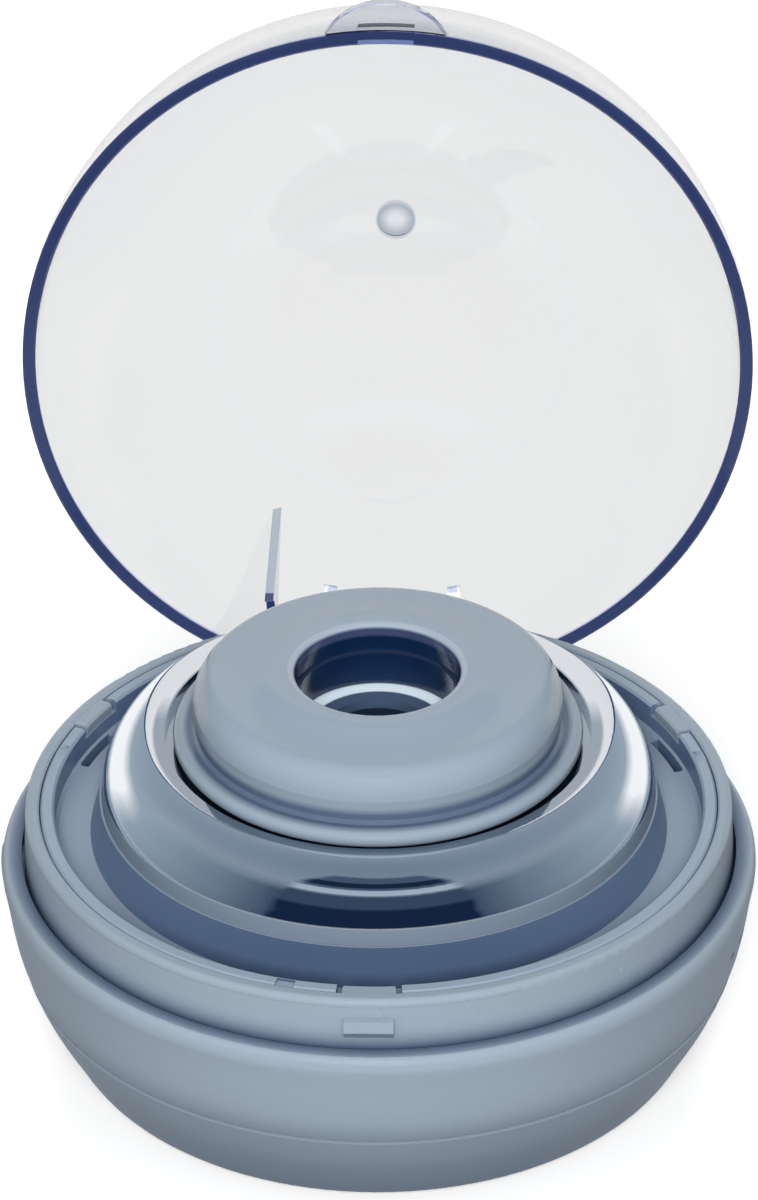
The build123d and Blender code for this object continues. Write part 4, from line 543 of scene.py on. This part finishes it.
# ------------------------------------------------------- tones of the plastic
def bell_tones(b, toned):
    """A painted highlight on the bead round the bell's bore, painted shade in deep blue inside it,
    painted shade over the flange.
    """
    x, y, z = b.parts(b.place())
    reach = b.across(x, y)
    under_bead = b.ramp(z, *UNDER_BEAD_HEIGHT)
    bore = b.both(b.ramp(reach, *BORE_REACH), under_bead, clamp=True)
    bead = b.both(b.band(reach, *BEAD_BAND), b.sum_of("SUBTRACT", 1.0, under_bead))
    flange = b.both(b.ramp(reach, *FLANGE_INNER), b.ramp(reach, *FLANGE_OUTER))
    flange = b.both(flange, b.stretch(z, *FLANGE_HEIGHT, 0.0, FLANGE_SHADE))
    # painted highlight on the bead
    toned = b.blend(bead, toned, BELL_BEAD_HIGHLIGHT)
    toned = b.blend(flange, toned, BELL_FLANGE_SHADE)
    # painted shade inside the bore
    wall = b.blend(b.ramp(z, *DEEP_BORE_HEIGHT), BORE_UPPER_PAINTED_SHADE, BORE_LOWER_PAINTED_SHADE)
    return b.blend(bore, toned, wall)


def case_tones(b, toned):
    """Painted shade under the case, and on the flat of its lip beside the collar."""
    x, y, z = b.parts(b.place())
    reach = b.across(x, y)
    flat = b.both(b.ramp(z, *LIP_FLAT_HEIGHT), b.ramp(reach, *LIP_FLAT_EDGE), clamp=True)
    painted_darkening = b.blend(b.ramp(reach, *LIP_FLAT_FADE), LIP_PAINTED_SHADE_INNER, LIP_PAINTED_SHADE_OUTER)
    under = b.stretch(b.facing_up(), *FACING_DOWN, 0.0, UNDERSIDE_SHADE)
    return b.blend(flat, b.blend(under, toned, CASE_UNDERSIDE_PAINTED_SHADE), painted_darkening)


def collar_tones(b, toned):
    """Painted shade: the collar darkens towards its foot, where it stands in the lip."""
    x, y, z = b.parts(b.place())
    low = b.ramp(z, *COLLAR_FOOT_HEIGHT)
    outer = b.ramp(b.across(x, y), *COLLAR_OUTSIDE)
    return b.blend(b.both(b.both(low, low), outer, clamp=True), toned, COLLAR_FOOT_PAINTED_SHADE)


def deck_tones(b, toned):
    """Painted shade on the platform's wall and the inside of the rim band, darker at the front."""
    x, y, _ = b.parts(b.place())
    steep = b.ramp(b.facing_up(), *DECK_STEEP)
    within = b.ramp(b.across(x, y), *DECK_REACH)
    painted_darkening = b.blend(b.ramp(y, *DECK_FRONT_FADE), PLATFORM_PAINTED_SHADE, PLATFORM_FRONT_PAINTED_SHADE)
    return b.blend(b.both(steep, within, clamp=True), toned, painted_darkening)


# ------------------------------------------------------------------ finishes
case_plastic = moulded_plastic("case_plastic", CASE_BLUE, rough=0.30, paint=case_tones)
collar_plastic = moulded_plastic("collar_plastic", COLLAR_BLUE, rough=0.26, paint=collar_tones)
deck_plastic = moulded_plastic(
    "deck_plastic", DECK_SLATE, rough=0.34, shade=0.3, paint=deck_tones)
bell_plastic = moulded_plastic("bell_plastic", BELL_BLUE, rough=0.09, paint=bell_tones)
well_plastic = moulded_plastic("well_plastic", WELL_SLATE, rough=0.35)
button_plastic = moulded_plastic("button_plastic", BUTTON_BLUE, rough=0.26)
drum_mirror = bright_metal(
    "drum_mirror", DRUM_BRIGHT, rough=0.035, drift=0.02, grain=0.000002,
    smudge=0.03, wave=2.0, size=700.0, zones=drum_zones,
)
lid_clear = clear_dome()
pipe_clear = clear_piece("indicator_pipe_clear", (0.30, 0.34, 0.40, 1.0), rough=0.15)
window_quartz = clear_piece("lamp_window_quartz", (0.92, 0.95, 0.98, 1.0), rough=0.02)
lamp_package = moulded_plastic(
    "lamp_package_ceramic", ink(214, 205, 168), rough=0.3, drift=0.1)
soft_silicone = moulded_plastic(
    "soft_silicone", ink(86, 92, 100), rough=0.6, sheen=0.3, grain=0.00004)
foam_strip = moulded_plastic(
    "foam_strip", ink(60, 62, 66), rough=0.95, sheen=0.1, grain=0.0001)
cell_foil = moulded_plastic("cell_foil", ink(150, 155, 163), rough=0.38, drift=0.12)
dark_packages = moulded_plastic("dark_packages", ink(34, 35, 38), rough=0.45, drift=0.2)
screw_steel = bright_metal("screw_steel", (0.60, 0.61, 0.62, 1.0), rough=0.32)
pin_steel = bright_metal("pin_steel", (0.66, 0.67, 0.68, 1.0), rough=0.18)
ring_aluminium = bright_metal("ring_aluminium", (0.80, 0.81, 0.82, 1.0), rough=0.30)
lamp_board_metal = bright_metal("lamp_board_metal", (0.84, 0.85, 0.86, 1.0), rough=0.42)
board_green = circuit_board("board_green", (0.010, 0.070, 0.035, 1.0))

FINISHES = {
    "base_shell": case_plastic,
    "body_shell": case_plastic,
    "collar_ring": collar_plastic,
    "deck_liner": deck_plastic,
    "reflector_drum": drum_mirror,
    "teat_well": well_plastic,
    "window_gasket": soft_silicone,
    "uv_window": window_quartz,
    "window_ring": ring_aluminium,
    "led_board": lamp_board_metal,
    "uv_leds": lamp_package,
    "led_board_screws": screw_steel,
    "main_board": board_green,
    "board_parts": dark_packages,
    "board_screws": screw_steel,
    "battery_pad": foam_strip,
    "battery": cell_foil,
    "usb_socket": screw_steel,
    "power_button": button_plastic,
    "button_switch": dark_packages,
    "button_board": board_green,
    "light_pipe": pipe_clear,
    "indicator_board": board_green,
    "indicator_leds": lamp_package,
    "interlock_plunger": deck_plastic,
    "interlock_switch": dark_packages,
    "hinge_pin": pin_steel,
    "lid": lid_clear,
    "bell": bell_plastic,
    "deck_screws": screw_steel,
    "base_screws": screw_steel,
    "foot_pad": soft_silicone,
}
for node_name, finish in FINISHES.items():
    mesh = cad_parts[node_name].data
    mesh.materials.clear()
    mesh.materials.append(finish)


# -------------------------------------------------------------------- studio
# Turns are angles in radians from straight ahead of the case, and heights are
# the sine of the angle over the floor.  Borders run from 0 to 1, as above.
FILL_LEVEL = 0.19                                # even light from all round
FILL_RISE = (0.0, 0.8, 0.45, 1.5)                # heights, and the share of it at each
FILL_TINT = (0.97, 0.985, 1.0, 1.0)
FLOOR_LIFT = (0.15, 0.60, 0.40, 1.0)             # reaches, and the glow at each
FLOOR_PALE = (0.86, 0.86, 0.86, 1.0)
FLOOR_DULL = (0.10, 0.105, 0.115, 1.0)
FLOOR_BY_CASE = ink(176, 188, 200)
FLOOR_STUDIO_REACH = (0.13, 0.18)
LID_CROSSINGS = (3.0, 4.0)                       # lid faces passed on the way in and out

SKY_LOW = ink(160, 174, 187)
SKY_HIGH = ink(118, 134, 152)
SKY_HEIGHT = (0.25, 1.0)
COVE_HEIGHT = (0.30, 0.10)
COVE_TURN = (1.75, 2.2)
FLANK_FRONT = ink(64, 80, 104)
FLANK_NEAR = ink(104, 121, 139)
FLANK_FAR = ink(150, 165, 178)
FLANK_FRONT_TURN = (0.70, 1.05)
FLANK_FAR_TURN = (1.05, 1.9)
FLANK_END_TURN = (2.2, 1.9)
FLANK_HEIGHT = (0.75, 0.50)
STRIP_TURN = (-0.62, 0.62, 0.12)
STRIPS = (                                       # low edge, high edge, softness, colour
    (0.76, 0.95, 0.02, ink(70, 86, 110)),
    (0.80, 0.87, 0.015, ink(24, 40, 64)),
    (0.64, 0.73, 0.015, ink(168, 180, 196)),
)
ROOM_TURN = (-0.66, 0.66, 0.05)
ROOM_HEIGHT = (0.62, 0.58)
ROOM_UPPER = ink(56, 72, 97)
ROOM_LOWER = ink(22, 37, 65)
ROOM_FADE = (0.32, 0.25)

LAMP_AIM = (0.0, 0.0, 0.03)
LAMPS = (                                        # name, place, width, height, watts
    ("top_softbox", (0.0, -0.15, 0.95), 0.8, 0.8, 0.5),
    ("front_softbox", (0.0, -1.1, 0.70), 0.4, 0.6, 16.0),
    ("back_softbox", (0.0, 1.2, 0.45), 0.8, 0.5, 8.0),
)

CAMERA_AZIMUTH = 0.0312341                       # to the right of the front
CAMERA_ELEVATION = 0.5906521
CAMERA_DISTANCE = 0.800
CAMERA_YAW = 0.0003443                           # turns away from the case's middle
CAMERA_PITCH = 0.0397488
CAMERA_ROLL = -0.0080329
CAMERA_LENS = 181.0
CAMERA_SENSOR = 36.0


def sorted_rays(b):
    """Masks of the rays that look straight at a thing, come through the lid, or off a mirror."""
    path = b.put("ShaderNodeLightPath").outputs
    undiffused = b.ramp(path["Diffuse Depth"], 1.0, 0.0)
    under_lid = b.ramp(path["Transmission Depth"], *LID_CROSSINGS)
    under_lid = b.both(under_lid, path["Glossy Depth"], clamp=True)
    open_air = b.sum_of("SUBTRACT", path["Is Glossy Ray"], path["Is Transmission Ray"], clamp=True)
    mirrored = b.both(b.sum_of("MAXIMUM", open_air, under_lid), undiffused)
    return path["Is Camera Ray"], b.both(path["Is Transmission Ray"], undiffused), mirrored


def turn_aside(b, x, y):
    """Angle from straight ahead of the case, positive to the right."""
    return b.sum_of("ARCTAN2", x, b.sum_of("MULTIPLY", y, -1.0))


def mirror_studio(b, aside, height):
    """Colours the mirror sees round the case.

    Behind and at the sides there is a white cove with blue-grey over it.  In
    front lies the dim end of the studio, with a dark room in its middle and
    strips over that.
    """
    turned = b.sum_of("ABSOLUTE", aside)
    sky = b.blend(b.ramp(height, *SKY_HEIGHT), SKY_LOW, SKY_HIGH)
    cove = b.both(b.ramp(height, *COVE_HEIGHT), b.ramp(turned, *COVE_TURN))
    sky = b.blend(cove, sky, WHITE)
    flank = b.blend(b.ramp(turned, *FLANK_FAR_TURN), FLANK_NEAR, FLANK_FAR)
    flank = b.blend(b.ramp(turned, *FLANK_FRONT_TURN), FLANK_FRONT, flank)
    in_front = b.both(b.ramp(turned, *FLANK_END_TURN), b.ramp(height, *FLANK_HEIGHT))
    sky = b.blend(in_front, sky, flank)
    middle = b.band(aside, *STRIP_TURN)
    for low_edge, high_edge, soft, colour in STRIPS:
        sky = b.blend(b.both(middle, b.band(height, low_edge, high_edge, soft)), sky, colour)
    room = b.both(b.band(aside, *ROOM_TURN), b.ramp(height, *ROOM_HEIGHT))
    return b.blend(room, sky, b.blend(b.ramp(height, *ROOM_FADE), ROOM_UPPER, ROOM_LOWER))


def lay_floor():
    """Pale to the eye, plain white through the lid, dull for soft light, the studio in a mirror."""
    bpy.ops.mesh.primitive_plane_add(size=6.0, location=(0, 0, 0))
    floor = bpy.context.object
    floor.name = "studio_floor"
    material = bpy.data.materials.new("studio_floor_white")
    material.use_nodes = True
    b = Bench(material.node_tree)
    x, y, _ = b.parts(b.put("ShaderNodeNewGeometry").outputs["Position"])
    reach = b.across(x, y)

    def glow(colour, strength):
        values = {"Color": colour, "Strength": strength}
        return b.put("ShaderNodeEmission", values).outputs[0]

    pale = b.put("ShaderNodeAddShader")
    b.feed(pale.inputs[0], b.put("ShaderNodeBsdfDiffuse", {"Color": FLOOR_PALE}).outputs[0])
    b.feed(pale.inputs[1], glow(WHITE, b.stretch(reach, *FLOOR_LIFT)))
    dull = b.put("ShaderNodeBsdfDiffuse", {"Color": FLOOR_DULL}).outputs[0]
    studio = mirror_studio(b, turn_aside(b, x, y), 0.0)
    around = b.blend(b.ramp(reach, *FLOOR_STUDIO_REACH), FLOOR_BY_CASE, studio)
    by_camera, by_lid, by_mirror = sorted_rays(b)
    surface = b.pick(by_camera, dull, pale.outputs[0])
    surface = b.pick(by_lid, surface, glow(WHITE, 1.0))
    surface = b.pick(by_mirror, surface, glow(around, 1.0))
    b.feed(b.put("ShaderNodeOutputMaterial").inputs["Surface"], surface)
    floor.data.materials.append(material)


def fill_world(level):
    """White to the eye, even fill for the surfaces, and the studio for the mirror."""
    world = bpy.data.worlds.new("studio_world")
    bpy.context.scene.world = world
    world.use_nodes = True
    b = Bench(world.node_tree)
    x, y, z = b.parts(b.put("ShaderNodeTexCoord").outputs["Generated"])

    def light(colour, strength):
        values = {"Color": colour, "Strength": strength}
        return b.put("ShaderNodeBackground", values).outputs[0]

    fill = light(FILL_TINT, b.sum_of("MULTIPLY", b.stretch(z, *FILL_RISE), level))
    studio = light(mirror_studio(b, turn_aside(b, x, y), z), 1.0)
    by_camera, by_lid, by_mirror = sorted_rays(b)
    looked_at = b.sum_of("MAXIMUM", by_camera, by_lid)
    surface = b.pick(by_mirror, b.pick(looked_at, fill, light(WHITE, 1.0)), studio)
    b.feed(b.put("ShaderNodeOutputWorld").inputs["Surface"], surface)


def hang_softbox(name, place, width, height, watts):
    """A soft lamp aimed at the case, which neither the mirror nor the clear lid shows."""
    lamp = bpy.data.lights.new(name, "AREA")
    lamp.shape = "RECTANGLE"
    lamp.size = width
    lamp.size_y = height
    lamp.energy = watts
    box = bpy.data.objects.new(name, lamp)
    bpy.context.collection.objects.link(box)
    box.location = place
    aim = Vector(LAMP_AIM) - Vector(place)
    box.rotation_euler = aim.to_track_quat("-Z", "Y").to_euler()
    box.visible_glossy = False
    box.visible_transmission = False


def set_camera():
    """Long lens from slightly right of the front, about 34 degrees up."""
    target = Vector((0.0, 0.0, LIP_HEIGHT))
    place = target + CAMERA_DISTANCE * Vector((
        math.sin(CAMERA_AZIMUTH) * math.cos(CAMERA_ELEVATION),
        -math.cos(CAMERA_AZIMUTH) * math.cos(CAMERA_ELEVATION),
        math.sin(CAMERA_ELEVATION),
    ))
    ahead = (target - place).normalized()
    right = ahead.cross(Vector((0, 0, 1))).normalized()
    up = right.cross(ahead)
    ahead = (
        ahead * math.cos(CAMERA_YAW) * math.cos(CAMERA_PITCH)
        + right * math.sin(CAMERA_YAW) * math.cos(CAMERA_PITCH)
        + up * math.sin(CAMERA_PITCH)
    ).normalized()
    right = ahead.cross(up).normalized()
    up = right.cross(ahead)
    right, up = (
        right * math.cos(CAMERA_ROLL) + up * math.sin(CAMERA_ROLL),
        up * math.cos(CAMERA_ROLL) - right * math.sin(CAMERA_ROLL),
    )
    camera = bpy.data.objects.new("studio_camera", bpy.data.cameras.new("studio_camera"))
    camera.data.sensor_width = CAMERA_SENSOR
    camera.data.sensor_fit = "AUTO"
    camera.data.lens = CAMERA_LENS
    turn = Matrix((right, up, -ahead)).transposed().to_4x4()
    camera.matrix_world = Matrix.Translation(place) @ turn
    bpy.context.collection.objects.link(camera)
    bpy.context.scene.camera = camera


lay_floor()
fill_world(FILL_LEVEL)
for lamp_settings in LAMPS:
    hang_softbox(*lamp_settings)
set_camera()

scene = bpy.context.scene
scene.view_settings.view_transform = "Standard"
